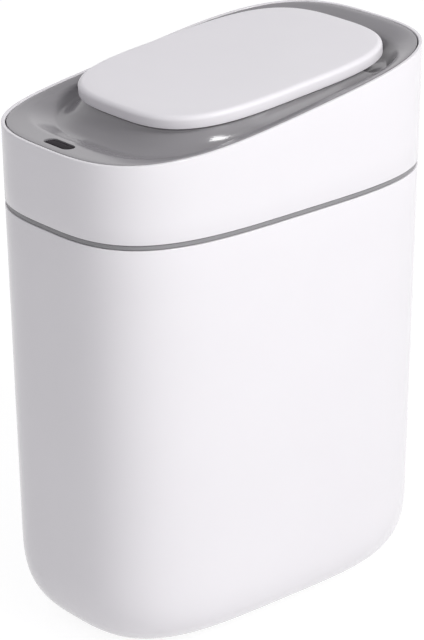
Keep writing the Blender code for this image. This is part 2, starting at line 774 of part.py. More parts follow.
def bowl_rings():
    """The bowl from the shoulder down its wall, up the ramp and over the collar."""
    shoulder = raised(shoulder_outline(), lip_z)
    foot = foot_ring(0, 0)
    rings = [shoulder]
    for steep, gentle in zip(BOWL_SHARES, REAR_WALL_SHARES):
        ring = []
        for start, finish in zip(shoulder, foot):
            rear = fade(start[1], HINGE_Y - REAR_WALL_START, HINGE_Y - REAR_WALL_END)
            inward, down = (a + (b - a) * rear for a, b in zip(steep, gentle))
            ring.append(part_way(start, finish, inward, down))
        rings.append(ring)
    radius = COLLAR_WIDTH / 2
    collar = []
    for step in range(COLLAR_EDGE_STEPS + 1):
        angle = pi * step / COLLAR_EDGE_STEPS
        collar.append(raised(collar_outline(COLLAR_INSET + radius * (1 - cos(angle))),
                             lambda y, drop=radius * (1 - sin(angle)): collar_z(y) - drop))
    return rings + [foot] + ramp_rings(foot, collar[0]) + collar


def under_collar_rings():
    """The hollow under the collar, from the mouth's side out to the foot line."""
    foot = foot_ring(0, TRAY_WALL)
    core = raised(collar_outline(COLLAR_INSET + COLLAR_WIDTH / 2), core_z)
    inner = raised(collar_outline(COLLAR_INSET + COLLAR_WIDTH), core_z)
    return [inner, core] + ramp_rings(foot, core)[::-1] + [foot]


def arm_outline(axis_y, axis_z):
    """One hinge arm from the side: a post, an arm forwards of the axis, a round ear."""
    points = []
    for step in range(ARM_STEPS + 1):
        angle = pi / 2 - pi * step / ARM_STEPS
        points.append((axis_y + ARM_RADIUS * cos(angle), axis_z + ARM_RADIUS * sin(angle)))
    back = axis_y - ARM_REACH + ARM_POST
    front = axis_y - ARM_REACH
    points += [(back, axis_z - ARM_RADIUS), (back, floor_z(back) - TRAY_WALL / 2),
               (front, floor_z(front) - TRAY_WALL / 2),
               (front, axis_z + ARM_RADIUS - ARM_REACH * LID_TILT_SHARE)]
    return points


def add_boss(item, name, centre, top, low, pilot_top, pilot_radius):
    """A round boss under a part, with a pilot hole from below."""
    join(item, drum(name, centre, BOSS_RADIUS, low, top, BOSS_SIDES))
    cut(item, drum(name + "_pilot", centre, pilot_radius, low - OVERRUN, pilot_top, BOSS_SIDES))


def cover_screw_places():
    """Where the base cover is screwed to the tray, with the tray's height above."""
    side_height = (floor_z(SIDE_SCREW_Y) + collar_z(SIDE_SCREW_Y)) / 2
    return (
        ("front_left", -FRONT_SCREW_X, FRONT_SCREW_Y, lip_z(FRONT_SCREW_Y)),
        ("front_right", FRONT_SCREW_X, FRONT_SCREW_Y, lip_z(FRONT_SCREW_Y)),
        ("side_left", -SIDE_SCREW_X, SIDE_SCREW_Y, side_height),
        ("side_right", SIDE_SCREW_X, SIDE_SCREW_Y, side_height),
        ("rear", 0, REAR_SCREW_Y, lip_z(REAR_SCREW_Y)),
    )


def gear_axis_places():
    """Centres (y, z) of the gear axles and the motor, stacked below the sector."""
    sector_reach = (SECTOR_TEETH + OUTPUT_PINION_TEETH) * LID_MODULE / 2
    y = HINGE_Y + sector_reach * cos(MESH_ANGLE)
    output = HINGE_Z + sector_reach * sin(MESH_ANGLE)
    second = output - (OUTPUT_WHEEL_TEETH + SECOND_PINION_TEETH) * GEAR_MODULE / 2
    first = second - (SECOND_WHEEL_TEETH + FIRST_PINION_TEETH) * GEAR_MODULE / 2
    motor = first - (FIRST_WHEEL_TEETH + MOTOR_PINION_TEETH) * GEAR_MODULE / 2
    return [(y, output), (y, second), (y, first), (y, motor)]


def tab_z(y):
    """Top of a gearbox tab, a boss's drop below the bowl's floor."""
    return floor_z(y) - TRAY_WALL - TAB_DROP


def tab_places():
    """Centres (x, y) of the two gearbox tabs."""
    axis_y = gear_axis_places()[0][0]
    return ((-CASE_HALF_WIDTH - TAB_LENGTH / 2, axis_y),
            (-CASE_HALF_WIDTH + (CASE_WALL + TAB_WIDTH) / 2, axis_y + CASE_HALF_DEPTH + TAB_LENGTH / 2))


def window_top():
    """Height of the sensor window's face."""
    return lip_z(SENSOR_Y) - WINDOW_SINK


def sensor_board_top():
    """Height of the sensor board's upper face."""
    return window_top() - WINDOW_THICKNESS - 2 * SEAT_GAP - SENSOR_HEIGHT


def pill(length, width, centre_y=0):
    """An outline with round ends, long along X."""
    points = []
    for side, start in ((1, -pi / 2), (-1, pi / 2)):
        for step in range(PILL_STEPS + 1):
            angle = start + pi * step / PILL_STEPS
            points.append((side * (length - width) / 2 + width / 2 * cos(angle),
                           centre_y + width / 2 * sin(angle)))
    return points


def build_tray():
    """The grey tray: skirt, lip, bowl, mouth and collar, with what it carries."""
    skirt = HEAD_WALL + SEAT_GAP
    skirt_low = LIP_DROP + TRAY_SKIRT
    rings = [rim_ring(skirt, skirt_low), rim_ring(skirt, LIP_DROP)] + bowl_rings()
    rings += [
        raised(mouth_outline(MOUTH_EDGE), lambda y: floor_z(y) - MOUTH_EDGE / 4),
        raised(mouth_outline(MOUTH_EDGE / 4), lambda y: floor_z(y) - MOUTH_EDGE / 2),
        raised(mouth_outline(), lambda y: floor_z(y) - MOUTH_EDGE),
        raised(mouth_outline(), lambda y: COVER_LOW),
        raised(mouth_outline(TRAY_WALL), lambda y: COVER_LOW),
        raised(mouth_outline(TRAY_WALL), lambda y: floor_z(y) - TRAY_WALL - MOUTH_EDGE / 2),
    ]
    rings += under_collar_rings() + [
        foot_ring(TRAY_WALL, TRAY_WALL / 2),
        raised(shoulder_outline(TRAY_WALL / 2), lambda y: lip_z(y) - TRAY_WALL),
        rim_ring(skirt + TRAY_WALL, LIP_DROP + TRAY_WALL),
        rim_ring(skirt + TRAY_WALL, skirt_low),
    ]
    tray = add_object("tray", loft("tray", rings, closed=True), GRAY)
    for side, centre in (("left", -ARM_CENTRE_X), ("right", ARM_CENTRE_X)):
        outline = arm_outline(HINGE_Y, HINGE_Z)
        join(tray, plate("hinge_arm_" + side, outline, centre - ARM_WIDTH / 2,
                         centre + ARM_WIDTH / 2))
    reach = ARM_CENTRE_X + ARM_WIDTH
    cut(tray, drum("hinge_bore", (HINGE_Y, HINGE_Z), SHAFT_RADIUS + SHAFT_CLEARANCE,
                   -reach, reach, SHAFT_SIDES, "X"))
    pilot = SCREW_RADIUS + PILOT_CLEARANCE
    for name, x, y, surface in cover_screw_places():
        add_boss(tray, "boss_" + name, (x, y), surface - TRAY_WALL / 2, COVER_TOP + SEAT_GAP,
                 COVER_TOP + SCREW_LENGTH, pilot)
    for side, x in (("left", -SENSOR_SCREW_X), ("right", SENSOR_SCREW_X)):
        place = (x, SENSOR_Y)
        surface = lip_z(SENSOR_Y) - TRAY_WALL
        join(tray, drum("sensor_post_" + side, place, STANDOFF_RADIUS,
                        sensor_board_top() + SEAT_GAP, surface + OVERRUN, BOSS_SIDES))
        cut(tray, drum("sensor_pilot_" + side, place, LID_SCREW_RADIUS + PILOT_CLEARANCE,
                       sensor_board_top() - OVERRUN, surface - TRAY_WALL, BOSS_SIDES))
    for index, (x, y) in enumerate(tab_places()):
        join(tray, drum("gearbox_boss_%d" % index, (x, y), BOSS_RADIUS, tab_z(y) + SEAT_GAP,
                        floor_z(y) - TRAY_WALL / 2, BOSS_SIDES))
        cut(tray, drum("gearbox_pilot_%d" % index, (x, y), LID_SCREW_RADIUS + PILOT_CLEARANCE,
                       tab_z(y) - OVERRUN, floor_z(y) - TRAY_WALL, BOSS_SIDES))
    slot = pill(WINDOW_LENGTH + 2 * SEAT_GAP, WINDOW_WIDTH + 2 * SEAT_GAP, SENSOR_Y)
    cut(tray, plate("window_slot", slot, lip_z(SENSOR_Y) - 2 * TRAY_WALL,
                    lip_z(SENSOR_Y) + TRAY_WALL, XY_PLANE))
    axis_y = gear_axis_places()[0][0]
    half_depth = CASE_HALF_DEPTH - CASE_WALL
    half_width = CASE_HALF_WIDTH + 2 * SEAT_GAP
    cut(tray, block("tower_hole", (-half_width, axis_y - half_depth, floor_z(axis_y) - 2 * TRAY_WALL),
                    (half_width, axis_y + half_depth, floor_z(axis_y) + TRAY_WALL)))
    return tray


def door_span():
    """Low x, high x, hinge y and rear y of the battery door."""
    half = BOX_INNER_LENGTH / 2
    return (BOX_CENTRE_X - half + SEAT_GAP, BOX_CENTRE_X + half - SEAT_GAP,
            box_inner_y()[0] - SEAT_GAP, box_inner_y()[1])


def box_inner_y():
    """The inner faces of the battery box along Y."""
    half = CELL_PITCH
    return BOX_CENTRE_Y - half, BOX_CENTRE_Y + half


def board_screw_places():
    """The two screwed corners of the control board."""
    low_y = BOARD_CENTRE_Y - BOARD_WIDTH / 2 + BOARD_SCREW_MARGIN
    high_y = BOARD_CENTRE_Y + BOARD_WIDTH / 2 - BOARD_SCREW_MARGIN
    return (("left", BOARD_LOW_X + BOARD_SCREW_MARGIN, high_y),
            ("right", BOARD_LOW_X + BOARD_LENGTH - BOARD_SCREW_MARGIN, low_y))


def build_base_cover():
    """The head's underside: a plate round the collar with a locating rib below."""
    _, skirt_inner = skirt_insets()
    rib_outer = skirt_inner + COVER_RIB_CLEARANCE
    rib_inner = rib_outer + COVER_RIB_WALL
    rib_low = COVER_LOW - COVER_RIB_DEPTH
    edge = HEAD_WALL + SEAT_GAP
    hole = mouth_outline(TRAY_WALL + SEAT_GAP)
    rings = [
        level_ring(edge, COVER_LOW), level_ring(edge, COVER_TOP),
        raised(hole, lambda y: COVER_TOP), raised(hole, lambda y: COVER_LOW),
        level_ring(rib_inner, COVER_LOW), level_ring(rib_inner, rib_low),
        level_ring(rib_outer, rib_low), level_ring(rib_outer, COVER_LOW),
    ]
    cover = add_object("base_cover", loft("base_cover", rings, closed=True), GRAY)
    for name, x, y, _ in cover_screw_places():
        cut(cover, drum("hole_" + name, (x, y), SCREW_RADIUS + HOLE_CLEARANCE,
                        COVER_LOW - OVERRUN, COVER_TOP + OVERRUN, BOSS_SIDES))
    low_x, high_x, hinge_y, rear_y = door_span()
    front_y = hinge_y - DOOR_HINGE_RADIUS - SEAT_GAP
    cut(cover, block("battery_hatch", (low_x - SEAT_GAP, front_y, COVER_LOW - OVERRUN),
                     (high_x + SEAT_GAP, rear_y + SEAT_GAP, COVER_TOP + OVERRUN)))
    half_slot = (KNOB_LENGTH / 2 + SEAT_GAP, KNOB_WIDTH / 2 + SEAT_GAP)
    cut(cover, block("switch_slot",
                     (SWITCH_X - half_slot[0], SWITCH_Y - half_slot[1], COVER_LOW - OVERRUN),
                     (SWITCH_X + half_slot[0] + KNOB_TRAVEL, SWITCH_Y + half_slot[1],
                      COVER_TOP + OVERRUN)))
    for name, x, y in board_screw_places():
        top = COVER_TOP + BOARD_STANDOFF - SEAT_GAP
        join(cover, drum("standoff_" + name, (x, y), STANDOFF_RADIUS, COVER_TOP - OVERRUN,
                         top, BOSS_SIDES))
        cut(cover, drum("standoff_hole_" + name, (x, y), LID_SCREW_RADIUS + PILOT_CLEARANCE,
                        COVER_TOP + OVERRUN, top + OVERRUN, BOSS_SIDES))


def screw(name, place, radius, length, head_up, parent=None, slot=STEEL):
    """A pan-head screw; place is the centre of its head's underside."""
    head = SCREW_HEAD_RADIUS * radius / SCREW_RADIUS
    profile = [(0, SCREW_HEAD_HEIGHT), (head - SCREW_HEAD_EDGE, SCREW_HEAD_HEIGHT),
               (head, SCREW_HEAD_HEIGHT - SCREW_HEAD_EDGE), (head, 0),
               (radius, 0), (radius, radius - length), (0, -length)]
    turn = None if head_up else (pi, 0, 0)
    return turned(name, profile, SCREW_SIDES, slot, place, parent, turn)


def build_screws():
    """The screws of the head, each seated on what it holds."""
    for name, x, y, _ in cover_screw_places():
        screw("cover_screw_" + name, (x, y, COVER_LOW - SEAT_GAP), SCREW_RADIUS,
              SCREW_LENGTH, False)
    for side, x in (("left", -SENSOR_SCREW_X), ("right", SENSOR_SCREW_X)):
        low = sensor_board_top() - BOARD_THICKNESS - SEAT_GAP
        screw("sensor_screw_" + side, (x, SENSOR_Y, low), LID_SCREW_RADIUS,
              LID_SCREW_LENGTH, False)
    for side, (x, y) in zip(("left", "rear"), tab_places()):
        screw("gearbox_screw_" + side, (x, y, tab_z(y) - TAB_THICKNESS - SEAT_GAP),
              LID_SCREW_RADIUS, LID_SCREW_LENGTH, False)
    for side, x, y in board_screw_places():
        top = COVER_TOP + BOARD_STANDOFF + BOARD_THICKNESS + SEAT_GAP
        screw("board_screw_" + side, (x, y, top), LID_SCREW_RADIUS,
              BOARD_THICKNESS + BOARD_STANDOFF - OVERRUN, True)


def build_sensor():
    """The dark window in the deck, and the board with its emitter and receiver."""
    top = window_top()
    low = top - WINDOW_THICKNESS - SEAT_GAP
    under = lip_z(SENSOR_Y) - WINDOW_THICKNESS
    face = pill(WINDOW_LENGTH, WINDOW_WIDTH, SENSOR_Y)
    flange = pill(WINDOW_LENGTH + 2 * WINDOW_FLANGE, WINDOW_WIDTH + WINDOW_FLANGE,
                  SENSOR_Y - WINDOW_FLANGE / 2)
    window = add_object("sensor_window", plate("sensor_window", face, low, top, XY_PLANE), DARK)
    join(window, plate("flange", flange, low - WINDOW_FLANGE_THICKNESS / 2,
                       under - SEAT_GAP, XY_PLANE))
    board_top = sensor_board_top()
    half = (SENSOR_BOARD_LENGTH / 2, SENSOR_BOARD_WIDTH / 2)
    board = add_object("sensor_board", block("sensor_board",
                                             (-half[0], SENSOR_Y - half[1], board_top - BOARD_THICKNESS),
                                             (half[0], SENSOR_Y + half[1], board_top)), BOARD)
    for side, x in (("left", -SENSOR_SCREW_X), ("right", SENSOR_SCREW_X)):
        cut(board, drum("hole_" + side, (x, SENSOR_Y), LID_SCREW_RADIUS + PILOT_CLEARANCE,
                        board_top - 2 * BOARD_THICKNESS, board_top + OVERRUN, BOSS_SIDES))
    foot = board_top + SEAT_GAP
    height = SENSOR_HEIGHT - WINDOW_FLANGE_THICKNESS
    profile = ((0, height), (LED_RADIUS / 2, height - LED_RADIUS / 8),
               (LED_RADIUS, height - LED_RADIUS), (LED_RADIUS, 0), (0, 0))
    turned("ir_emitter", profile, BOSS_SIDES, DARK, (-LED_OFFSET_X, SENSOR_Y, foot))
    half_size = RECEIVER_SIZE / 2
    receiver = add_object("ir_receiver", block("ir_receiver",
                                               (LED_OFFSET_X - half_size, SENSOR_Y - half_size, foot),
                                               (LED_OFFSET_X + half_size, SENSOR_Y + half_size,
                                                foot + height / 2)), BLACK)
    join(receiver, drum("lens", (LED_OFFSET_X, SENSOR_Y), RECEIVER_SIZE / 3,
                        foot + height / 4, foot + height, BOSS_SIDES))


def gear_outline(teeth, module, phase, count=None):
    """Straight-flanked teeth round a circle, the first one centred on phase."""
    pitch = 2 * pi / teeth
    radius = teeth * module / 2
    tip, root = radius + TIP_SHARE * module, radius - ROOT_SHARE * module
    points = []
    for index in range(count or teeth):
        centre = phase + index * pitch
        for reach, share in ((root, -TOOTH_ROOT_SHARE), (tip, -TOOTH_TIP_SHARE),
                             (tip, TOOTH_TIP_SHARE), (root, TOOTH_ROOT_SHARE)):
            angle = centre + share * pitch / 2
            points.append((reach * cos(angle), reach * sin(angle)))
    return points


def facing_phase(direction, teeth):
    """Phase of a gear whose gap faces a tooth that points along direction."""
    return direction + pi + pi / teeth


def compound_gear(name, place, pinion, wheel, hub):
    """A wheel and pinion on one hub; each is teeth, module, phase, low x, high x."""
    parts = []
    for label, (teeth, module, phase, low, high) in (("pinion", pinion), ("wheel", wheel)):
        outline = gear_outline(teeth, module, phase)
        parts.append(plate(name + "_" + label, outline, low, high))
    item = add_object(name, parts[0], NATURAL, None, (0, *place))
    join(item, parts[1], place=(0, *place))
    join(item, drum("hub", (0, 0), GEAR_HUB_RADIUS, *hub, BOSS_SIDES, "X"), place=(0, *place))
    cut(item, drum("bore", (0, 0), AXLE_RADIUS + SHAFT_CLEARANCE, -CASE_HALF_WIDTH,
                   CASE_HALF_WIDTH, AXLE_SIDES, "X"), place=(0, *place))


def build_gears():
    """Three compound gears and the motor's rotor, in mesh at rest."""
    output, second, first, motor = gear_axis_places()
    down = -pi / 2
    pinion_high = OUTPUT_HALF_FACE - SEAT_GAP
    wheel_high = OUTPUT_HALF_FACE + OUTPUT_WHEEL_FACE
    compound_gear("output_gear", output,
                  (OUTPUT_PINION_TEETH, LID_MODULE, facing_phase(MESH_ANGLE, OUTPUT_PINION_TEETH),
                   -OUTPUT_HALF_FACE, pinion_high),
                  (OUTPUT_WHEEL_TEETH, GEAR_MODULE, down, OUTPUT_HALF_FACE, wheel_high),
                  (pinion_high - OVERRUN, OUTPUT_HALF_FACE + OVERRUN))
    pinion_low = OUTPUT_HALF_FACE + GEAR_SIDE_GAP
    side_wheel_high = -OUTPUT_HALF_FACE - GEAR_SIDE_GAP
    side_wheel_low = side_wheel_high - WHEEL_FACE
    compound_gear("second_gear", second,
                  (SECOND_PINION_TEETH, GEAR_MODULE, facing_phase(down, SECOND_PINION_TEETH),
                   pinion_low, pinion_low + PINION_FACE),
                  (SECOND_WHEEL_TEETH, GEAR_MODULE, down, side_wheel_low, side_wheel_high),
                  (side_wheel_low + OVERRUN, pinion_low + OVERRUN))
    wheel_low = -GEAR_SIDE_GAP
    compound_gear("first_gear", first,
                  (FIRST_PINION_TEETH, GEAR_MODULE, facing_phase(down, FIRST_PINION_TEETH),
                   side_wheel_low, side_wheel_high),
                  (FIRST_WHEEL_TEETH, GEAR_MODULE, down, wheel_low, wheel_low + WHEEL_FACE),
                  (side_wheel_high - OVERRUN, wheel_low + OVERRUN))
    outline = gear_outline(MOTOR_PINION_TEETH, GEAR_MODULE, facing_phase(down, MOTOR_PINION_TEETH))
    face = (wheel_low - GEAR_SIDE_GAP / 2, wheel_low + WHEEL_FACE + GEAR_SIDE_GAP / 2)
    rotor = add_object("motor_rotor", plate("motor_rotor", outline, *face), STEEL, None,
                       (0, *motor))
    join(rotor, drum("shaft", (0, 0), MOTOR_SHAFT_RADIUS, face[0] + OVERRUN,
                     CASE_HALF_WIDTH + MOTOR_BORE_DEPTH, AXLE_SIDES, "X"), place=(0, *motor))
    for name, place in zip(("output_axle", "second_axle", "first_axle"), (output, second, first)):
        pin = drum(name, place, AXLE_RADIUS, -CASE_HALF_WIDTH, CASE_HALF_WIDTH, AXLE_SIDES, "X")
        add_object(name, pin, STEEL)


def side_plate_outline():
    """The gearbox from the side: a box below and a narrow tower to the top axle."""
    (y, output), _, _, (_, motor) = gear_axis_places()
    top = case_top()
    low = motor - MOTOR_RADIUS + CASE_MARGIN
    front, rear = y - CASE_HALF_DEPTH, y + CASE_HALF_DEPTH
    points = [(front, low), (rear, low), (rear, top), (y + TOWER_RADIUS, top)]
    for step in range(ARM_STEPS + 1):
        angle = pi * step / ARM_STEPS
        points.append((y + TOWER_RADIUS * cos(angle), output + TOWER_RADIUS * sin(angle)))
    return points + [(y - TOWER_RADIUS, top), (front, top)]


def case_top():
    """Top of the gearbox's box, just under the bowl's floor."""
    front = gear_axis_places()[0][0] - CASE_HALF_DEPTH
    return floor_z(front) - TRAY_WALL - CASE_WALL


def build_gearbox():
    """The case with its open box and two tabs, and the flat cover that closes it."""
    (y, _), _, _, motor = gear_axis_places()
    front, rear = y - CASE_HALF_DEPTH, y + CASE_HALF_DEPTH
    low, top = motor[1] - MOTOR_RADIUS + CASE_MARGIN, case_top()
    inner = CASE_HALF_WIDTH - CASE_WALL
    case = add_object("gearbox_case", plate("gearbox_case", side_plate_outline(),
                                            -CASE_HALF_WIDTH, -inner), BLACK)
    rim = [(front, top), (front, low), (rear, low), (rear, top), (rear - CASE_WALL, top),
           (rear - CASE_WALL, low + CASE_WALL), (front + CASE_WALL, low + CASE_WALL),
           (front + CASE_WALL, top)]
    join(case, plate("rim", rim, -inner - OVERRUN, inner - SEAT_GAP))
    for index, (x, tab_y) in enumerate(tab_places()):
        along_x = (TAB_LENGTH + OVERRUN, TAB_WIDTH)[index] / 2
        along_y = (TAB_WIDTH, TAB_LENGTH + OVERRUN)[index] / 2
        shift = ((OVERRUN / 2, 0), (0, -OVERRUN / 2))[index]
        join(case, block("tab_%d" % index,
                         (x + shift[0] - along_x, tab_y + shift[1] - along_y,
                          tab_z(tab_y) - TAB_THICKNESS),
                         (x + shift[0] + along_x, tab_y + shift[1] + along_y, tab_z(tab_y))))
    for index, (x, tab_y) in enumerate(tab_places()):
        cut(case, drum("tab_hole_%d" % index, (x, tab_y), LID_SCREW_RADIUS + HOLE_CLEARANCE,
                       tab_z(tab_y) - TAB_THICKNESS - OVERRUN, tab_z(tab_y) + OVERRUN,
                       SCREW_SIDES))
    cover = add_object("gearbox_cover", plate("gearbox_cover", side_plate_outline(),
                                              inner, CASE_HALF_WIDTH), BLACK)
    for index, place in enumerate(gear_axis_places()[:3]):
        for item in (case, cover):
            cut(item, drum("axle_hole_%d" % index, place, AXLE_RADIUS + SHAFT_CLEARANCE,
                           -CASE_HALF_WIDTH - OVERRUN, CASE_HALF_WIDTH + OVERRUN,
                           AXLE_SIDES, "X"))
    cut(cover, drum("motor_hole", motor, MOTOR_SHAFT_RADIUS + HOLE_CLEARANCE, inner - OVERRUN,
                    CASE_HALF_WIDTH + OVERRUN, BOSS_SIDES, "X"))
    build_motor(motor)


def build_motor(centre):
    """The motor's can, round with two flats, bored for the rotor's shaft."""
    start = CASE_HALF_WIDTH + SEAT_GAP
    sides = 2 * RING_STEPS // 3
    outline = []
    for step in range(sides):
        angle = 2 * pi * step / sides
        across = max(min(MOTOR_RADIUS * cos(angle), MOTOR_HALF_FLAT), -MOTOR_HALF_FLAT)
        outline.append((centre[0] + across, centre[1] + MOTOR_RADIUS * sin(angle)))
    can = add_object("motor_can", plate("motor_can", outline, start, start + MOTOR_LENGTH), STEEL)
    join(can, drum("end_boss", centre, MOTOR_END_RADIUS, start + MOTOR_LENGTH - OVERRUN,
                   start + MOTOR_LENGTH + MOTOR_END_HEIGHT, BOSS_SIDES, "X"))
    cut(can, drum("bore", centre, MOTOR_SHAFT_RADIUS + PILOT_CLEARANCE, start - OVERRUN,
                  start + MOTOR_BORE_DEPTH, BOSS_SIDES, "X"))


def lid_frame():
    """An empty on the hinge axis, tilted with the lid."""
    empty = bpy.data.objects.new("lid_axis", None)
    PARTS.objects.link(empty)
    empty.location = (0, HINGE_Y, HINGE_Z)
    empty.rotation_euler = (LID_TILT, 0, 0)
    return empty


def lid_ring(inset, height):
    """A ring of the lid's outline in the lid's own frame."""
    points = oval(LID_HALF_WIDTH - inset, LID_HALF_LENGTH - inset, LID_POWER_X, LID_POWER_Y,
                  LID_CENTRE_Y)
    return [(x, y, height) for x, y in points]


def lid_screw_places():
    """Screws under the lid: four in the bracket and two in the liner."""
    return (
        ("bracket_screw_inner_left", -BRACKET_SCREW_X, -BRACKET_SCREW_Y),
        ("bracket_screw_inner_right", BRACKET_SCREW_X, -BRACKET_SCREW_Y),
        ("bracket_screw_outer_left", -ARM_CENTRE_X - BRACKET_SCREW_OFFSET, -BRACKET_SCREW_Y),
        ("bracket_screw_outer_right", ARM_CENTRE_X + BRACKET_SCREW_OFFSET, -BRACKET_SCREW_Y),
        ("liner_screw_left", -LINER_SCREW_X, -LINER_SCREW_Y),
        ("liner_screw_right", LINER_SCREW_X, -LINER_SCREW_Y),
    )


def build_lid(empty):
    """The white lid plate, its liner, and the screws from below."""
    rings = [lid_ring(LID_EDGE_ROUND, LID_TOP_ABOVE_AXIS)]
    for inset, drop in LID_EDGE_SHARES[::-1]:
        rings.append(lid_ring(inset * LID_EDGE_ROUND, LID_TOP_ABOVE_AXIS - drop * LID_EDGE_ROUND))
    rings += [
        lid_ring(0, LID_BOTTOM + LID_LOWER_EDGE),
        lid_ring(LID_LOWER_EDGE, LID_BOTTOM),
        lid_ring(LID_WALL, LID_BOTTOM),
        lid_ring(LID_WALL, LID_INNER_TOP - LID_EDGE_ROUND / 2),
        lid_ring(LID_WALL + LID_EDGE_ROUND / 2, LID_INNER_TOP),
    ]
    lid = add_object("lid_plate", loft("lid_plate", rings), LID_WHITE, empty)
    liner_low = LID_BOTTOM + LINER_SINK
    liner_top = liner_low + LINER_THICKNESS
    edge = LID_WALL + SEAT_GAP
    liner = add_object("lid_liner", loft("lid_liner", [lid_ring(edge, liner_low),
                                                       lid_ring(edge, liner_top)]), LID_WHITE, empty)
    cut(liner, block("bracket_bay", (-BRACKET_HALF_WIDTH - SEAT_GAP, -BRACKET_REACH - SEAT_GAP,
                                     liner_low - OVERRUN),
                     (BRACKET_HALF_WIDTH + SEAT_GAP, LID_HALF_LENGTH, liner_top + OVERRUN)),
        parent=empty)
    cut(liner, block("rear_end", (-LID_HALF_WIDTH, -BRACKET_REAR, liner_low - OVERRUN),
                     (LID_HALF_WIDTH, LID_HALF_LENGTH, liner_top + OVERRUN)), parent=empty)
    bracket_top = LID_BOTTOM + BRACKET_THICKNESS
    for name, x, y in lid_screw_places():
        in_liner = name.startswith("liner")
        seat = liner_top if in_liner else bracket_top
        join(lid, drum("boss_" + name, (x, y), LID_BOSS_RADIUS, seat + SEAT_GAP,
                       LID_INNER_TOP + OVERRUN, BOSS_SIDES), parent=empty)
        cut(lid, drum("pilot_" + name, (x, y), LID_SCREW_RADIUS + PILOT_CLEARANCE,
                      seat - OVERRUN, LID_INNER_TOP, BOSS_SIDES), parent=empty)
        low = (liner_low if in_liner else LID_BOTTOM) - SEAT_GAP
        screw(name, (x, y, low), LID_SCREW_RADIUS, LID_SCREW_LENGTH, False, empty)
        if in_liner:
            cut(liner, drum("hole_" + name, (x, y), LID_SCREW_RADIUS + PILOT_CLEARANCE,
                            liner_low - OVERRUN, liner_top + OVERRUN, BOSS_SIDES), parent=empty)


def lug_outline():
    """A hinge lug from the side: round over the shaft, square at the plate."""
    points = []
    for step in range(ARM_STEPS + 1):
        angle = pi * step / ARM_STEPS
        points.append((ARM_RADIUS * cos(angle), ARM_RADIUS * sin(angle)))
    return points + [(-ARM_RADIUS, LID_BOTTOM + OVERRUN), (ARM_RADIUS, LID_BOTTOM + OVERRUN)]


def sector_outline():
    """The drive sector: teeth along an arc, joined to the hinge axis."""
    pitch = 2 * pi / SECTOR_TEETH
    start = MESH_ANGLE - LID_TILT - pitch
    return gear_outline(SECTOR_TEETH, LID_MODULE, start, SECTOR_TEETH_CUT) + [(0, 0)]


def build_bracket(empty):
    """The lid's hinge bracket with four lugs and the drive sector, and its shaft."""
    top = LID_BOTTOM + BRACKET_THICKNESS
    bracket = add_object("hinge_bracket",
                         block("hinge_bracket", (-BRACKET_HALF_WIDTH, -BRACKET_REACH, LID_BOTTOM),
                               (BRACKET_HALF_WIDTH, BRACKET_REAR, top)), GRAY, empty)
    for side, low, high in (("left", -BRACKET_HALF_WIDTH - OVERRUN, -LUG_REACH),
                            ("right", LUG_REACH, BRACKET_HALF_WIDTH + OVERRUN)):
        cut(bracket, block("corner_" + side, (low, -BRACKET_WIDE_REAR, LID_BOTTOM - OVERRUN),
                           (high, BRACKET_REAR + OVERRUN, top + OVERRUN)), parent=empty)
    half_slot = ARM_WIDTH / 2 + ARM_SLOT_CLEARANCE
    for side, centre in (("left", -ARM_CENTRE_X), ("right", ARM_CENTRE_X)):
        cut(bracket, block("arm_slot_" + side,
                           (centre - half_slot, -ARM_REACH - ARM_END_CLEARANCE,
                            LID_BOTTOM - OVERRUN),
                           (centre + half_slot, BRACKET_REAR + OVERRUN, top + OVERRUN)),
            parent=empty)
        away = copysign(1, centre)
        inner = centre - away * (half_slot + LUG_INNER_WIDTH / 2)
        outer = centre + away * (half_slot + LUG_OUTER_WIDTH / 2)
        for label, middle, width in (("inner", inner, LUG_INNER_WIDTH),
                                     ("outer", outer, LUG_OUTER_WIDTH)):
            join(bracket, plate("lug_%s_%s" % (label, side), lug_outline(),
                                middle - width / 2, middle + width / 2), parent=empty)
    join(bracket, plate("sector", sector_outline(), -SECTOR_HALF_FACE, SECTOR_HALF_FACE),
         parent=empty)
    hub_reach = SECTOR_HALF_FACE + OVERRUN
    join(bracket, drum("hub", (0, 0), ARM_RADIUS, -hub_reach, hub_reach, SHAFT_SIDES, "X"),
         parent=empty)
    cut(bracket, drum("bore", (0, 0), SHAFT_RADIUS + SHAFT_CLEARANCE, -LUG_REACH - OVERRUN,
                      LUG_REACH + OVERRUN, SHAFT_SIDES, "X"), parent=empty)
    for name, x, y in lid_screw_places()[:4]:
        cut(bracket, drum("hole_" + name, (x, y), LID_SCREW_RADIUS + PILOT_CLEARANCE,
                          LID_BOTTOM - OVERRUN, top + OVERRUN, BOSS_SIDES), parent=empty)
    shaft = drum("hinge_shaft", (0, 0), SHAFT_RADIUS, -LUG_REACH, LUG_REACH, SHAFT_SIDES, "X")
    add_object("hinge_shaft", shaft, STEEL, empty)


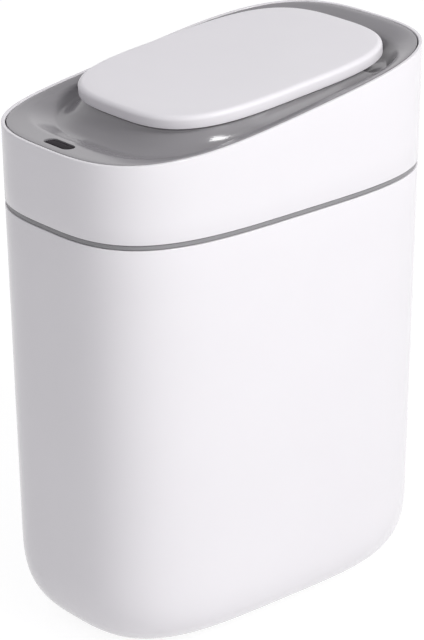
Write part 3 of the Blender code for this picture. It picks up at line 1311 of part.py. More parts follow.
def build_battery_box():
    """The box over the hatch, two cells, their contacts and springs, and the door."""
    half = BOX_INNER_LENGTH / 2
    low_y, high_y = box_inner_y()
    low = COVER_TOP + SEAT_GAP
    ceiling = low + 2 * (CELL_RADIUS + CELL_HEADROOM)
    box = add_object("battery_box",
                     block("battery_box",
                           (BOX_CENTRE_X - half - BOX_WALL, low_y - BOX_WALL, low),
                           (BOX_CENTRE_X + half + BOX_WALL, high_y + BOX_WALL,
                            ceiling + BOX_WALL)), BLACK)
    cut(box, block("cavity", (BOX_CENTRE_X - half, low_y, low - OVERRUN),
                   (BOX_CENTRE_X + half, high_y, ceiling)))
    middle_z = (low + ceiling) / 2
    tab = SEAT_GAP + CONTACT_THICKNESS
    for side, away, y in (("front", -1, BOX_CENTRE_Y - CELL_PITCH / 2),
                          ("rear", 1, BOX_CENTRE_Y + CELL_PITCH / 2)):
        spring_face = BOX_CENTRE_X + away * (half - tab - SEAT_GAP)
        build_spring("battery_spring_" + side, spring_face, -away, y, middle_z)
        base = spring_face - away * (SPRING_LENGTH + SEAT_GAP)
        build_cell("battery_cell_" + side, base, -away, y, middle_z)
    contacts = (("contact_bridge", -1, low_y + SEAT_GAP, high_y - SEAT_GAP),
                ("contact_plus", 1, BOX_CENTRE_Y - CELL_PITCH / 2 - CONTACT_SIZE / 2,
                 BOX_CENTRE_Y - CELL_PITCH / 2 + CONTACT_SIZE / 2),
                ("contact_minus", 1, BOX_CENTRE_Y + CELL_PITCH / 2 - CONTACT_SIZE / 2,
                 BOX_CENTRE_Y + CELL_PITCH / 2 + CONTACT_SIZE / 2))
    for name, away, front, rear in contacts:
        faces = sorted(BOX_CENTRE_X + away * (half - reach) for reach in (SEAT_GAP, tab))
        add_object(name, block(name, (faces[0], front, middle_z - CONTACT_SIZE / 2),
                               (faces[1], rear, middle_z + CONTACT_SIZE / 2)), STEEL)
    build_battery_door()


def build_cell(name, base, away, y, z):
    """A round cell along X, its nub on the far side from its spring."""
    body = CELL_LENGTH - CELL_NUB_HEIGHT
    profile = ((0, CELL_LENGTH), (CELL_NUB_RADIUS, CELL_LENGTH), (CELL_NUB_RADIUS, body),
               (CELL_RADIUS, body), (CELL_RADIUS, 0), (0, 0))
    turned(name, profile, CELL_SIDES, CELL, (base, y, z), None, (0, away * pi / 2, 0))


def build_spring(name, base, away, y, z):
    """A tapering coil that presses on a cell's flat end."""
    points = []
    count = SPRING_TURNS * SPRING_TURN_POINTS
    run = SPRING_LENGTH - 2 * SPRING_WIRE_RADIUS
    for step in range(count + 1):
        share = step / count
        radius = SPRING_RADIUS + (SPRING_TIP_RADIUS - SPRING_RADIUS) * share
        angle = 2 * pi * step / SPRING_TURN_POINTS
        points.append((base + away * (SPRING_WIRE_RADIUS + run * share),
                       y + radius * cos(angle), z + radius * sin(angle)))
    add_object(name, tube(name, points, SPRING_WIRE_RADIUS), STEEL)


def build_battery_door():
    """A flat door whose front edge is a round barrel on the hinge axis."""
    low_x, high_x, hinge_y, rear_y = door_span()
    middle = (COVER_LOW + COVER_TOP) / 2
    place = (0, hinge_y, middle)
    door = add_object("battery_door", block("battery_door",
                                            (low_x, 0, COVER_LOW - middle),
                                            (high_x, rear_y - hinge_y, COVER_TOP - middle)),
                      GRAY, None, place)
    join(door, drum("barrel", (0, 0), DOOR_HINGE_RADIUS, low_x, high_x, BOSS_SIDES, "X"),
         place=place)


def build_board():
    """The control board with its chip, capacitor and three connectors."""
    low = COVER_TOP + BOARD_STANDOFF
    top = low + BOARD_THICKNESS
    front, rear = BOARD_CENTRE_Y - BOARD_WIDTH / 2, BOARD_CENTRE_Y + BOARD_WIDTH / 2
    board = add_object("control_board",
                       block("control_board", (BOARD_LOW_X, front, low),
                             (BOARD_LOW_X + BOARD_LENGTH, rear, top)), BOARD)
    middle_x = BOARD_LOW_X + BOARD_LENGTH / 2
    join(board, block("chip", (middle_x - CHIP_SIZE / 2, BOARD_CENTRE_Y - CHIP_SIZE / 2,
                               top - OVERRUN),
                      (middle_x + CHIP_SIZE / 2, BOARD_CENTRE_Y + CHIP_SIZE / 2,
                       top + CHIP_HEIGHT)))
    join(board, drum("capacitor", (middle_x - 2 * CAPACITOR_RADIUS - CHIP_SIZE / 2, BOARD_CENTRE_Y),
                     CAPACITOR_RADIUS, top - OVERRUN, top + CAPACITOR_HEIGHT, BOSS_SIDES))
    for name, (x, y) in connector_places().items():
        join(board, block(name + "_connector",
                          (x - CONNECTOR_LENGTH / 2, y - CONNECTOR_WIDTH / 2, top - OVERRUN),
                          (x + CONNECTOR_LENGTH / 2, y + CONNECTOR_WIDTH / 2,
                           top + CONNECTOR_HEIGHT)))
    for name, x, y in board_screw_places():
        cut(board, drum("hole_" + name, (x, y), LID_SCREW_RADIUS + PILOT_CLEARANCE,
                        low - OVERRUN, top + OVERRUN, BOSS_SIDES))


def connector_places():
    """Centres of the board's connectors, named for what each one feeds."""
    rear = BOARD_CENTRE_Y + BOARD_WIDTH / 2 - CONNECTOR_WIDTH
    middle_x = BOARD_LOW_X + BOARD_LENGTH / 2
    return {
        "battery": (middle_x - CONNECTOR_LENGTH, rear),
        "motor": (middle_x + CHIP_SIZE + CONNECTOR_LENGTH / 2, BOARD_CENTRE_Y),
        "sensor": (middle_x + CHIP_SIZE + CONNECTOR_LENGTH / 2, rear),
    }


def connector_top():
    """Height at which a lead meets a connector."""
    return COVER_TOP + BOARD_STANDOFF + BOARD_THICKNESS + CONNECTOR_HEIGHT + SEAT_GAP


def build_switch():
    """The power switch: a body over the cover and a knob that slides in its slot."""
    low = COVER_TOP + SEAT_GAP
    start = SWITCH_X + KNOB_TRAVEL / 2
    body = add_object("switch_body",
                      block("switch_body", (start - SWITCH_LENGTH / 2, SWITCH_Y - SWITCH_WIDTH / 2, low),
                            (start + SWITCH_LENGTH / 2, SWITCH_Y + SWITCH_WIDTH / 2,
                             low + SWITCH_HEIGHT)), BLACK)
    half = (KNOB_LENGTH / 2 + SEAT_GAP, KNOB_WIDTH / 2 + SEAT_GAP)
    cut(body, block("channel", (SWITCH_X - half[0], SWITCH_Y - half[1], low - OVERRUN),
                    (SWITCH_X + half[0] + KNOB_TRAVEL, SWITCH_Y + half[1],
                     low + SWITCH_HEIGHT / 2)))
    knob_top = low + SWITCH_HEIGHT / 2 - SEAT_GAP
    place = (SWITCH_X, SWITCH_Y, low)
    add_object("switch_knob",
               block("switch_knob", (-KNOB_LENGTH / 2, -KNOB_WIDTH / 2, COVER_LOW - KNOB_PROUD - low),
                     (KNOB_LENGTH / 2, KNOB_WIDTH / 2, knob_top - low)), BLACK, None, place)


def lead_points(start, route, connector):
    """A lead from its start along a route and down onto its connector."""
    points = []
    if start:
        points += [start, (start[0] + LEAD_RISE / 2, *start[1:])]
    points += [(x, y, COVER_TOP + rise) for x, y, rise in route]
    top = connector_top()
    return points + [(*connector, top + LEAD_RISE), (*connector, top)]


def build_leads():
    """Three leads along the inside of the head."""
    places = connector_places()
    board_end = SENSOR_BOARD_LENGTH / 2 + SEAT_GAP
    exit_z = sensor_board_top() - BOARD_THICKNESS / 2
    motor_end = CASE_HALF_WIDTH + 2 * SEAT_GAP + MOTOR_LENGTH + MOTOR_END_HEIGHT
    for name, start, route in (
            ("sensor", (board_end, SENSOR_Y, exit_z), SENSOR_LEAD_ROUTE),
            ("motor", (motor_end, *gear_axis_places()[3]), MOTOR_LEAD_ROUTE),
            ("battery", None, BATTERY_LEAD_ROUTE)):
        points = smooth_route(lead_points(start, route, places[name]))
        add_object(name + "_lead", tube(name + "_lead", points, LEAD_RADIUS), LEAD)


def build():
    """Make every part."""
    build_tub()
    build_bag_ring()
    build_head_shell()
    build_tray()
    build_base_cover()
    build_sensor()
    build_gears()
    build_gearbox()
    empty = lid_frame()
    build_lid(empty)
    build_bracket(empty)
    build_battery_box()
    build_board()
    build_switch()
    build_leads()
    build_screws()


build()
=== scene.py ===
"""The sensor bin dressed for looks: fine shells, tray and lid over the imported
CAD frame, procedural materials, a pale floor and soft studio light.

Lengths are in metres: x runs across, y from front to rear and z up."""

import json

import bmesh
import bpy
from math import atan, copysign, cos, hypot, pi, sin
from mathutils import Matrix, Vector


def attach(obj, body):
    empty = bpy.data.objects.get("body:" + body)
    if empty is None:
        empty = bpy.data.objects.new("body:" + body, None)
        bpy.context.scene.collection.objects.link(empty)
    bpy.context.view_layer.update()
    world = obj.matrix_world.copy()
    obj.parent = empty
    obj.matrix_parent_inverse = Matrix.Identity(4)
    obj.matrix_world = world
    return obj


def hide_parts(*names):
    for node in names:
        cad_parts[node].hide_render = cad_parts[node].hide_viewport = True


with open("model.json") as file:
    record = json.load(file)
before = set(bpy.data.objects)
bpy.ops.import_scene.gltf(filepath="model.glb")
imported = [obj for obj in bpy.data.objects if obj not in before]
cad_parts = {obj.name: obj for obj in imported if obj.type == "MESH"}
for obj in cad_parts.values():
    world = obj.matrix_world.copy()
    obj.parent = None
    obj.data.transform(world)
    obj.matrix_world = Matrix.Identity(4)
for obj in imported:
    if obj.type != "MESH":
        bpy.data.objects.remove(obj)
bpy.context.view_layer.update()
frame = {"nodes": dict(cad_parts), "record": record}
NODES = frame["nodes"]

# Body, on the same curves as the CAD part
FOOT_PROUD = 0.0012
TUB_HEIGHT = 0.2780
HALF_WIDTH = 0.0835
HALF_LENGTH = 0.1350
TAPER_X = 0.0132
TAPER_Y = 0.0140
POWER_X = (2.95, 3.125)
POWER_Y = (3.83, 3.66)
SEAM = 0.0035
GAP = 0.0003
TUB_TOP = FOOT_PROUD + TUB_HEIGHT
HEAD_LOW = TUB_TOP + SEAM

# Points round every outline, and the powers that space them
STEPS = 192
FINE_STEPS = 4096
SPACING_POWERS = (3.1, 3.66)
RIM_ROUNDS = 3

# Tub: its round base and its rolled edge
ROUND_RISE = 0.0581
ROUND_INSET = 0.0539
ROUND_POWER = 3.23
ROUND_STEPS = 26
ROUND_CROWDING = 2.2
TUB_WALL = 0.0024
TUB_FLOOR = 0.0026
TUB_EDGE = 0.0005
SIDE_STEPS = 8
EDGE_STEPS = 6

# Bag ring: the band in the seam and the skirt inside the tub
BAND_INSET = 0.0007
RING_BEVEL = 0.0004
SKIRT_OUTER = 0.0034
SKIRT_INNER = 0.0052
SKIRT_DEPTH = 0.0200

# Head: rim, ledge under the tray, flange over the base cover.
# RIM and FLOOR are heights above the tub's top: front, middle, rear, bend
RIM = (0.0528, 0.0653, 0.0825, 0.25)
FLOOR = (0.0420, 0.0554, 0.0627, 0.0)
WALL = 0.0022
RIM_EDGE = 0.0006
LOW_EDGE = ((0.0005, 0), (0.0001, 0.0002), (0, 0.0005))
LOW_BEVEL = 0.0003
SIDE_SHARES = (0.25, 0.5, 0.75)
LEDGE_DROP = 0.0127
LEDGE_WALL = 0.0020
LEDGE_REACH = 0.0030
COVER_WALL = 0.0020
FLANGE_WALL = 0.0020
FLANGE_REACH = 0.0040

# Tray: the lip along the rim
TRAY_WALL = 0.0020
TRAY_SKIRT = 0.0120
LIP_DROP = 0.0002
LIP_GAP = 0.0007
LIP_EDGE = 0.0004
LIP_EDGE_STEPS = 4
LIP_FALL = 0.0012
LIP_SHARES = (0.3, 0.55, 0.75, 0.9, 1)
LIP_ROUND = 0.0020
LIP_ROUND_STEPS = 6
LIP_SLOPE = pi / 3
REAR_DIP = 0.0025

# Tray outlines: half width, half length, centre, power in front, power behind
SHOULDER = (0.0760, 0.1179, 0.0026, 3.8, 3.25)
FOOT_LINE = (0.0712, 0.1054, 0.0076, 3.25, 3.1)
MOUTH = (0.0420, 0.0690, 0.0030, 4.5, 4.5)
FOOT_LIFT = 0.0055
CORNER_STRAIGHT = 0.5

# Tray: the collar round the mouth, under the lid
COLLAR_INSET = 0.0026
COLLAR_WIDTH = 0.0018
COLLAR_CORE = 0.0045
COLLAR_REAR = 0.0800
COLLAR_GAP = 0.0012
COLLAR_REST = 0.0010
COLLAR_STEPS = 8
MOUTH_ROUND = 0.0020
MOUTH_STEPS = 6
MOUTH_BEVEL = 0.0004
MOUTH_LOW = HEAD_LOW + GAP
MOUTH_WEB = 0.0010

# Spans over which a shape fades in, outwards from the middle
DIP_FADE = (0.030, 0.115)
REAR_FADE = (0.040, 0.095)
FRONT_FADE = (0.045, 0.100)
RAMP_FADE = (0.008, 0.046)
COLLAR_FADE = (0.070, 0.088)
FOOT_FADE = (0.058, 0.090)
FOOT_FADE_X = (0.020, 0.045)

# Profiles between two rings: shares inwards and in height
BOWL_SHARES = ((0, 0), (0.12, 0.16), (0.28, 0.42), (0.46, 0.68), (0.68, 0.87), (0.86, 0.97),
               (1, 1))
REAR_SHARES = ((0, 0), (0.14, 0.09), (0.36, 0.34), (0.60, 0.62), (0.82, 0.86), (0.93, 0.96),
               (1, 1))
FRONT_SHARES = ((0, 0), (0.13, 0.07), (0.31, 0.26), (0.58, 0.57), (0.80, 0.82), (0.93, 0.96),
                (1, 1))
RAMP_SHARES = ((0, 0), (0.20, 0.03), (0.40, 0.13), (0.60, 0.31), (0.78, 0.56), (0.90, 0.78),
               (1, 1))
SIDE_RAMP_SHARES = ((0, 0), (0.17, 0.07), (0.36, 0.29), (0.56, 0.55), (0.76, 0.79), (0.90, 0.92),
                    (1, 1))
BOWL_LEVELS = 24
UNDER_STRIDE = 4

# Lid in its own frame on the hinge axis: half width, half length, centre,
# power of the sides, power of the ends
HINGE = Vector((0, 0.1010, TUB_TOP + 0.0780))
TILT_SHARE = 0.0848
LID_FRAME = Matrix.Translation(HINGE) @ Matrix.Rotation(atan(TILT_SHARE), 4, "X")
LID_SIZE = (0.0664, 0.0954, -0.0871, 3.14, 3.63)
LID_TOP = 0.0063
LID_LOW = -0.0020
LID_WALL = 0.0022
LID_ROUND = 0.0032
LID_ROUND_STEPS = 9
LID_LOW_ROUND = 0.0007
LID_LOW_STEPS = 4
LID_FLAT = (0.030, 0.010)
LID_BEVEL = 0.0003
LID_INSIDE = ((0, 0.0016), (0.0005, 0.0005), (0.0016, 0))

# Hinge arms of the tray, the shaft's bore and the slot for the drive
ARM_X = 0.0220
ARM_HALF = 0.0020
ARM_RADIUS = 0.0033
ARM_REACH = 0.0200
ARM_POST = 0.0070
ARM_FILLET = 0.0015
ARM_FILLET_MIDDLE = 0.0004
ARM_STEPS = 20
BORE_RADIUS = 0.0016
BORE_HALF = 0.026
BORE_STEPS = 32
DRIVE_DISTANCE = 0.0168
DRIVE_ANGLE = -3 * pi / 4
DRIVE_Y = HINGE.y + DRIVE_DISTANCE * cos(DRIVE_ANGLE)
DRIVE_HALF_X = 0.0096
DRIVE_HALF_Y = 0.0080
CUT_BELOW = 0.004
CUT_ABOVE = 0.002

# Sensor window: length and width, and the lens's insets and heights
SENSOR_Y = -0.1225
WINDOW = (0.0241, 0.0090)
WINDOW_PLAY = 0.0006
PILL_STEPS = 24
LENS_SINK = 0.0003
LENS_INSET = 0.0030
LENS_REACH = 0.0024
LENS_CROWN = 0.00022
LENS_STEPS = 5
LENS_EDGE = ((0.0003, 0.0001), (0.00005, 0.0004), (0, 0.0012), (0, 0.0028))

# Faces that meet at a larger angle than this, in radians, show an edge
SHARP_ANGLE = 0.6

# Moulded plastics: name, colour, roughness, scale and depth of the grain,
# colour drift, other inputs
PLASTICS = {
    "shell": ("shell_gloss", (0.905, 0.884, 0.906), 0.16, 260, 0.0000012, 0.006,
              {"IOR": 1.49}),
    "lid": ("lid_satin", (0.925, 0.904, 0.929), 0.38, 3200, 0.0000060, 0.006,
            {"IOR": 1.47}),
    "tray": ("tray_grey", (0.330, 0.320, 0.333), 0.15, 240, 0.0000014, 0.012,
             {"IOR": 1.47}),
    "band": ("band_grey", (0.29, 0.287, 0.295), 0.42, 2400, 0.000006, 0.02, {}),
    "cover": ("cover_grey", (0.36, 0.355, 0.36), 0.40, 2600, 0.000008, 0.015, {}),
    "rubber": ("foot_rubber", (0.085, 0.085, 0.088), 0.78, 2600, 0.00002, 0.08, {}),
    "nylon": ("gear_nylon", (0.78, 0.755, 0.69), 0.40, 1500, 0.000006, 0.03,
              {"Subsurface Weight": 0.15, "Subsurface Scale": 0.001}),
    "black": ("black_plastic", (0.028, 0.028, 0.030), 0.42, 2200, 0.000010, 0.12, {}),
    "lead": ("lead_black", (0.025, 0.025, 0.027), 0.48, 900, 0.00001, 0.15, {}),
}
NOISE_SPAN = (0.3, 0.7)
DRIFT_SCALE = 14
GLOSS_SCALE = 60
GLOSS_DRIFT = 0.12
SHELL_WAVE_SCALE = 38
SHELL_WAVE_DEPTH = 0.000010
MASK_STOPS = ((0.0, (0.012, 0.10, 0.04)), (0.34, (0.02, 0.17, 0.065)),
              (0.40, (0.05, 0.26, 0.10)), (0.50, (0.016, 0.14, 0.055)))
JACKET_PALE = (0.45, 0.46, 0.48)
JACKET_DARK = (0.06, 0.09, 0.15)
JACKET_STOPS = ((0.0, JACKET_PALE), (0.18, JACKET_PALE), (0.19, JACKET_DARK),
                (0.81, JACKET_DARK), (0.82, JACKET_PALE))
JACKET_SPAN = (-0.053, 0.001)

# Material of each slot on the CAD nodes that stay in view
SLOT_MATERIALS = {
    "shell_white": "shell", "lid_white": "lid", "tray_gray": "cover", "band_gray": "band",
    "window_dark": "window", "foot_rubber": "rubber", "nylon_natural": "nylon",
    "plastic_black": "black", "steel": "steel", "board_green": "board",
    "cell_jacket": "cell", "lead_black": "lead",
}

# Camera, fitted to the photograph's outlines
LENS = 164.41
SENSOR_WIDTH = 36
CLIP = (0.05, 50)
CAMERA_MATRIX = (
    (0.65285, -0.28645, 0.70123, 1.31438),
    (0.75746, 0.25445, -0.60126, -1.13029),
    (-0.00619, 0.92369, 0.38309, 0.90175 + FOOT_PROUD),
    (0, 0, 0, 1),
)

# Studio: the world that lights the object, and the one that is seen, which
# is white low down and grey high up
AMBIENT = 0.455
AMBIENT_COLOUR = (0.965, 0.957, 1)
SEEN_STOPS = ((0.40, (1.0, 0.992, 1.0)), (0.62, (0.30, 0.30 * 0.992, 0.30)))
FLOOR_REACH = 4.0
FLOOR_COLOUR = (0.80, 0.80, 0.80)
FLOOR_SEEN = (0.25, 0.25, 0.25)
FLOOR_GLOW = 0.88

# Lamps: name, place, target, width, height, watts
LAMPS = (
    ("key_softbox", (1.413, 0.183, 1.791), (0, 0, 0.30), 0.45, 0.45, 16.0),
    ("side_softbox", (2.55, -0.45, 0.70), (0, 0, 0.20), 1.6, 1.4, 13.6),
    ("rear_softbox", (1.71, 1.41, 1.59), (0.05, 0, 0.34), 1.2, 0.8, 5.2),
)


# Curves


def spread(value, power):
    """One coordinate of a superellipse, as a share of its half size."""
    return copysign(abs(value) ** (2 / power), value)


def spaced_angles():
    """Angles that step evenly along the body's outline."""
    power_x, power_y = SPACING_POWERS
    points = []
    for i in range(FINE_STEPS + 1):
        angle = 2 * pi * i / FINE_STEPS
        points.append((HALF_WIDTH * spread(cos(angle), power_x),
                       HALF_LENGTH * spread(sin(angle), power_y)))
    run = [0]
    for a, b in zip(points, points[1:]):
        run.append(run[-1] + hypot(b[0] - a[0], b[1] - a[1]))
    angles, index = [], 0
    for step in range(STEPS):
        target = run[-1] * step / STEPS
        while run[index + 1] < target:
            index += 1
        share = (target - run[index]) / (run[index + 1] - run[index])
        angles.append(2 * pi * (index + share) / FINE_STEPS)
    return angles


ANGLES = spaced_angles()


def oval(width, length, centre, front, rear, side=None):
    """A superellipse through the shared angles, its power changing at the middle."""
    points = []
    for angle in ANGLES:
        power = rear if sin(angle) > 0 else front
        points.append((width * spread(cos(angle), side or power),
                       centre + length * spread(sin(angle), power)))
    return points


def body_size(inset, z):
    """Half width and half length of the tapered body at a height."""
    above = z - TUB_TOP
    return HALF_WIDTH + above * TAPER_X - inset, HALF_LENGTH + above * TAPER_Y - inset


def body_oval(inset, z):
    """The tapered body's outline at a height."""
    share = min(max((z - FOOT_PROUD) / TUB_HEIGHT, 0), 1)
    power_x = POWER_X[0] + (POWER_X[1] - POWER_X[0]) * share
    power_y = POWER_Y[0] + (POWER_Y[1] - POWER_Y[0]) * share
    return oval(*body_size(inset, z), 0, power_y, power_y, power_x)


def body_point(index, inset, z):
    """One point of the head's outline at a height."""
    width, length = body_size(inset, z)
    return (width * spread(cos(ANGLES[index]), POWER_X[1]),
            length * spread(sin(ANGLES[index]), POWER_Y[1]))


def curve(y, shape):
    """Height above the tub's top along the length."""
    front, middle, rear, bend = shape
    t = y / HALF_LENGTH
    return (middle + (rear - front) / 2 * ((1 + bend) * t - bend * t**3)
            + ((rear + front) / 2 - middle) * t**2)


def rim_z(y):
    return TUB_TOP + curve(y, RIM)


def floor_z(y):
    return TUB_TOP + curve(y, FLOOR)


def lip_z(y):
    return rim_z(y) - LIP_FALL


def fade(y, span):
    """0 before a span, 1 behind it, smooth between."""
    share = min(max((y - span[0]) / (span[1] - span[0]), 0), 1)
    return share * share * (3 - 2 * share)


def collar_z(y):
    """Top of the mouth's collar: just under the lid, low where the hinge is."""
    high = HINGE.z + (y - HINGE.y) * TILT_SHARE + LID_LOW - COLLAR_GAP
    return high + (floor_z(y) + COLLAR_REST - high) * fade(y, COLLAR_FADE)


def core_z(y):
    """Ceiling of the hollow under the collar."""
    return max(collar_z(y) - COLLAR_CORE, floor_z(y) - TRAY_WALL)


def corner_share(point):
    """1 in the bowl's rear corners, 0 elsewhere."""
    return fade(point[1], FOOT_FADE) * fade(abs(point[0]), FOOT_FADE_X)


def mixed(a, b, share):
    """A point part of the way from one point to another."""
    return tuple(p + (q - p) * share for p, q in zip(a, b))


def quarter_turn(steps):
    """Sines and cosines from 0 to a right angle."""
    angles = [pi / 2 * i / steps for i in range(steps + 1)]
    return [(sin(angle), cos(angle)) for angle in angles]


def smooth_shares(table, count):
    """Points evenly spaced along a smooth curve through a table of shares."""
    ends = [table[0]] + list(table) + [table[-1]]
    made = []
    for step in range(count + 1):
        place = step * (len(table) - 1) / count
        index = min(int(place), len(table) - 2)
        t = place - index
        p0, p1, p2, p3 = ends[index:index + 4]
        made.append(tuple(
            0.5 * (2 * b + (c - a) * t + (2 * a - 5 * b + 4 * c - d) * t**2
                   + (3 * b - a - 3 * c + d) * t**3)
            for a, b, c, d in zip(p0, p1, p2, p3)))
    return made


# Rings and outlines


def level_ring(inset, z):
    """A level ring of the body's outline."""
    return [(x, y, z) for x, y in body_oval(inset, z)]


def rim_ring(inset, drop):
    """A ring of the body's outline that follows the rim."""
    ring = []
    for index, (x, y) in enumerate(body_oval(inset, TUB_TOP + RIM[1])):
        for _ in range(RIM_ROUNDS):
            z = rim_z(y) - drop
            x, y = body_point(index, inset, z)
        ring.append((x, y, z))
    return ring


def raised(outline, height):
    """A flat outline lifted to a height that depends on y."""
    return [(x, y, height(y)) for x, y in outline]


def grown(shape, grow=0):
    """An outline of the tray, made larger all round."""
    return oval(shape[0] + grow, shape[1] + grow, *shape[2:])


def collar(inset):
    """The collar's outline: the lid's own in front and at the sides, short behind."""
    width, length, centre, side, end = LID_SIZE
    centre += HINGE.y
    front = oval(width - inset, length - inset, centre, end, end, side)
    rear = oval(width - inset, COLLAR_REAR - inset + COLLAR_INSET, centre, end, end, side)
    return [b if b[1] > centre else a for a, b in zip(front, rear)]


def foot_ring(grow, drop):
    """The bowl's lowest line, which climbs in the rear corners."""
    return [(*point, floor_z(point[1]) + FOOT_LIFT * corner_share(point) - drop)
            for point in grown(FOOT_LINE, grow)]


def between(low, high, shares):
    """Rings from one ring to another, in shares inwards and in height."""
    rings = []
    for inward, rise in smooth_shares(shares, BOWL_LEVELS):
        rings.append([(*mixed(a[:2], b[:2], inward), a[2] + (b[2] - a[2]) * rise)
                      for a, b in zip(low, high)])
    return rings


def edge_rings(make, radius, wall):
    """Rings round a rolled edge, from the outside over the top to the inside."""
    turn = quarter_turn(EDGE_STEPS)
    return ([make(radius * (1 - c), radius * (1 - s)) for s, c in turn]
            + [make(wall - radius * (1 - s), radius * (1 - c)) for s, c in turn])


def circle(centre, radius, steps, start=0, sweep=2 * pi, close=True):
    """A circle's points, or an arc's with both its ends."""
    count = steps if close else steps + 1
    return [(centre[0] + radius * cos(start + sweep * i / steps),
             centre[1] + radius * sin(start + sweep * i / steps)) for i in range(count)]


def pill(length, width, inset=0):
    """A bar with round ends, lying across the sensor's place."""
    radius = width / 2 - inset
    half = (length - width) / 2
    points = []
    for side, start in ((1, -pi / 2), (-1, pi / 2)):
        for i in range(PILL_STEPS + 1):
            angle = start + pi * i / PILL_STEPS
            points.append((side * half + radius * cos(angle), SENSOR_Y + radius * sin(angle)))
    return points


# Meshes


def mesh_from(name, shape):
    """A mesh from a bmesh, its faces turned outwards."""
    bmesh.ops.recalc_face_normals(shape, faces=shape.faces)
    mesh = bpy.data.meshes.new(name)
    shape.to_mesh(mesh)
    shape.free()
    return mesh


def loft(name, rings, closed=False):
    """A mesh through rings: a loop of rings, or a stack with both ends filled."""
    shape = bmesh.new()
    levels = [[shape.verts.new(p) for p in ring] for ring in rings]
    pairs = list(zip(levels, levels[1:]))
    if closed:
        pairs.append((levels[-1], levels[0]))
    else:
        shape.faces.new(levels[0])
        shape.faces.new(levels[-1])
    for low, high in pairs:
        for i, corner in enumerate(low):
            j = (i + 1) % len(low)
            shape.faces.new((corner, low[j], high[j], high[i]))
    return mesh_from(name, shape)


def block(low, high):
    """A box between two corners."""
    shape = bmesh.new()
    bmesh.ops.create_cube(shape, size=1)
    for vert in shape.verts:
        vert.co = [low[i] + (vert.co[i] + 0.5) * (high[i] - low[i]) for i in range(3)]
    return mesh_from("block", shape)


def prism(outline, low, high, axis="Z"):
    """A flat outline carried from low to high along Z or X."""
    def place(u, v, w):
        return (w, u, v) if axis == "X" else (u, v, w)
    return loft("prism", [[place(u, v, w) for u, v in outline] for w in (low, high)])


def add_to_scene(name, data):
    """A new object in the scene."""
    item = bpy.data.objects.new(name, data)
    bpy.context.scene.collection.objects.link(item)
    return item


def boolean(mesh, tools, operation):
    """Apply Booleans to a mesh and give back the result."""
    holder = add_to_scene("tool", mesh)
    helpers = []
    for tool in tools:
        helper = add_to_scene("tool", tool)
        helpers.append(helper)
        step = holder.modifiers.new("step", "BOOLEAN")
        step.operation = operation
        step.object = helper
    graph = bpy.context.evaluated_depsgraph_get()
    made = bpy.data.meshes.new_from_object(holder.evaluated_get(graph))
    for item in [holder] + helpers:
        bpy.data.objects.remove(item, do_unlink=True)
    return made


def piece(name, mesh, material, body, replaces):
    """A shown piece that rides on a body and stands for CAD nodes."""
    item = add_to_scene(name, mesh)
    mesh.materials.append(MATERIALS[material])
    mesh.shade_smooth()
    mesh.set_sharp_from_angle(angle=SHARP_ANGLE)
    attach(item, body)
    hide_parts(*replaces)


# Materials


class Shader:
    """A Principled material and short calls to add its nodes."""

    def __init__(self, name, colour, roughness, metallic=0.0, extra=None):
        self.material = bpy.data.materials.new(name)
        self.material.use_nodes = True
        self.tree = self.material.node_tree
        self.main = self.tree.nodes["Principled BSDF"]
        self.colour = colour
        self.main.inputs["Base Color"].default_value = (*colour, 1)
        self.main.inputs["Roughness"].default_value = roughness
        self.main.inputs["Metallic"].default_value = metallic
        for key, value in (extra or {}).items():
            self.main.inputs[key].default_value = value
        self.place = self.node("ShaderNodeTexCoord").outputs["Object"]
        self.normal = None

    def node(self, kind, **sockets):
        """A node with values on its inputs, their names written with _."""
        made = self.tree.nodes.new(kind)
        for key, value in sockets.items():
            made.inputs[key.replace("_", " ")].default_value = value
        return made

    def link(self, source, target):
        self.tree.links.new(source, target)

    def noise(self, scale, detail=2.0, stretch=None):
        made = self.node("ShaderNodeTexNoise", Scale=scale, Detail=detail, Roughness=0.5)
        source = self.place
        if stretch:
            mapping = self.node("ShaderNodeMapping", Scale=stretch)
            self.link(source, mapping.inputs["Vector"])
            source = mapping.outputs["Vector"]
        self.link(source, made.inputs["Vector"])
        return made.outputs["Fac"]

    def ramp(self, source, stops):
        """Colours along a value."""
        made = self.node("ShaderNodeValToRGB")
        elements = made.color_ramp.elements
        stops = list(stops)
        while len(elements) < len(stops):
            elements.new(0.5)
        for element, (position, colour) in zip(elements, stops):
            element.position = position
            element.color = (*colour, 1)
        self.link(source, made.inputs["Fac"])
        return made.outputs["Color"]

    def bump(self, source, distance):
        """One more layer of bump over those before it."""
        made = self.node("ShaderNodeBump", Strength=1.0, Distance=distance)
        self.link(source, made.inputs["Height"])
        if self.normal is not None:
            self.link(self.normal, made.inputs["Normal"])
        self.normal = made.outputs["Normal"]
        self.link(self.normal, self.main.inputs["Normal"])

    def vary(self, scale, amount):
        """Slight variation of the base colour."""
        low = tuple(max(c * (1 - amount), 0) for c in self.colour)
        high = tuple(min(c * (1 + amount), 1) for c in self.colour)
        self.link(self.ramp(self.noise(scale), zip(NOISE_SPAN, (low, high))),
                  self.main.inputs["Base Color"])

    def rough(self, scale, low, high, detail=3.0, stretch=None):
        """Roughness that drifts between two values."""
        made = self.node("ShaderNodeMapRange", From_Min=NOISE_SPAN[0], From_Max=NOISE_SPAN[1],
                         To_Min=low, To_Max=high)
        self.link(self.noise(scale, detail, stretch), made.inputs["Value"])
        self.link(made.outputs["Result"], self.main.inputs["Roughness"])


def moulded(name, colour, roughness, grain, depth, vary, extra):
    """Moulded plastic: faint colour drift, uneven gloss and a fine grain."""
    made = Shader(name, colour, roughness, extra=extra)
    made.vary(DRIFT_SCALE, vary)
    made.rough(GLOSS_SCALE, roughness * (1 - GLOSS_DRIFT), roughness * (1 + GLOSS_DRIFT))
    made.bump(made.noise(grain), depth)
    return made


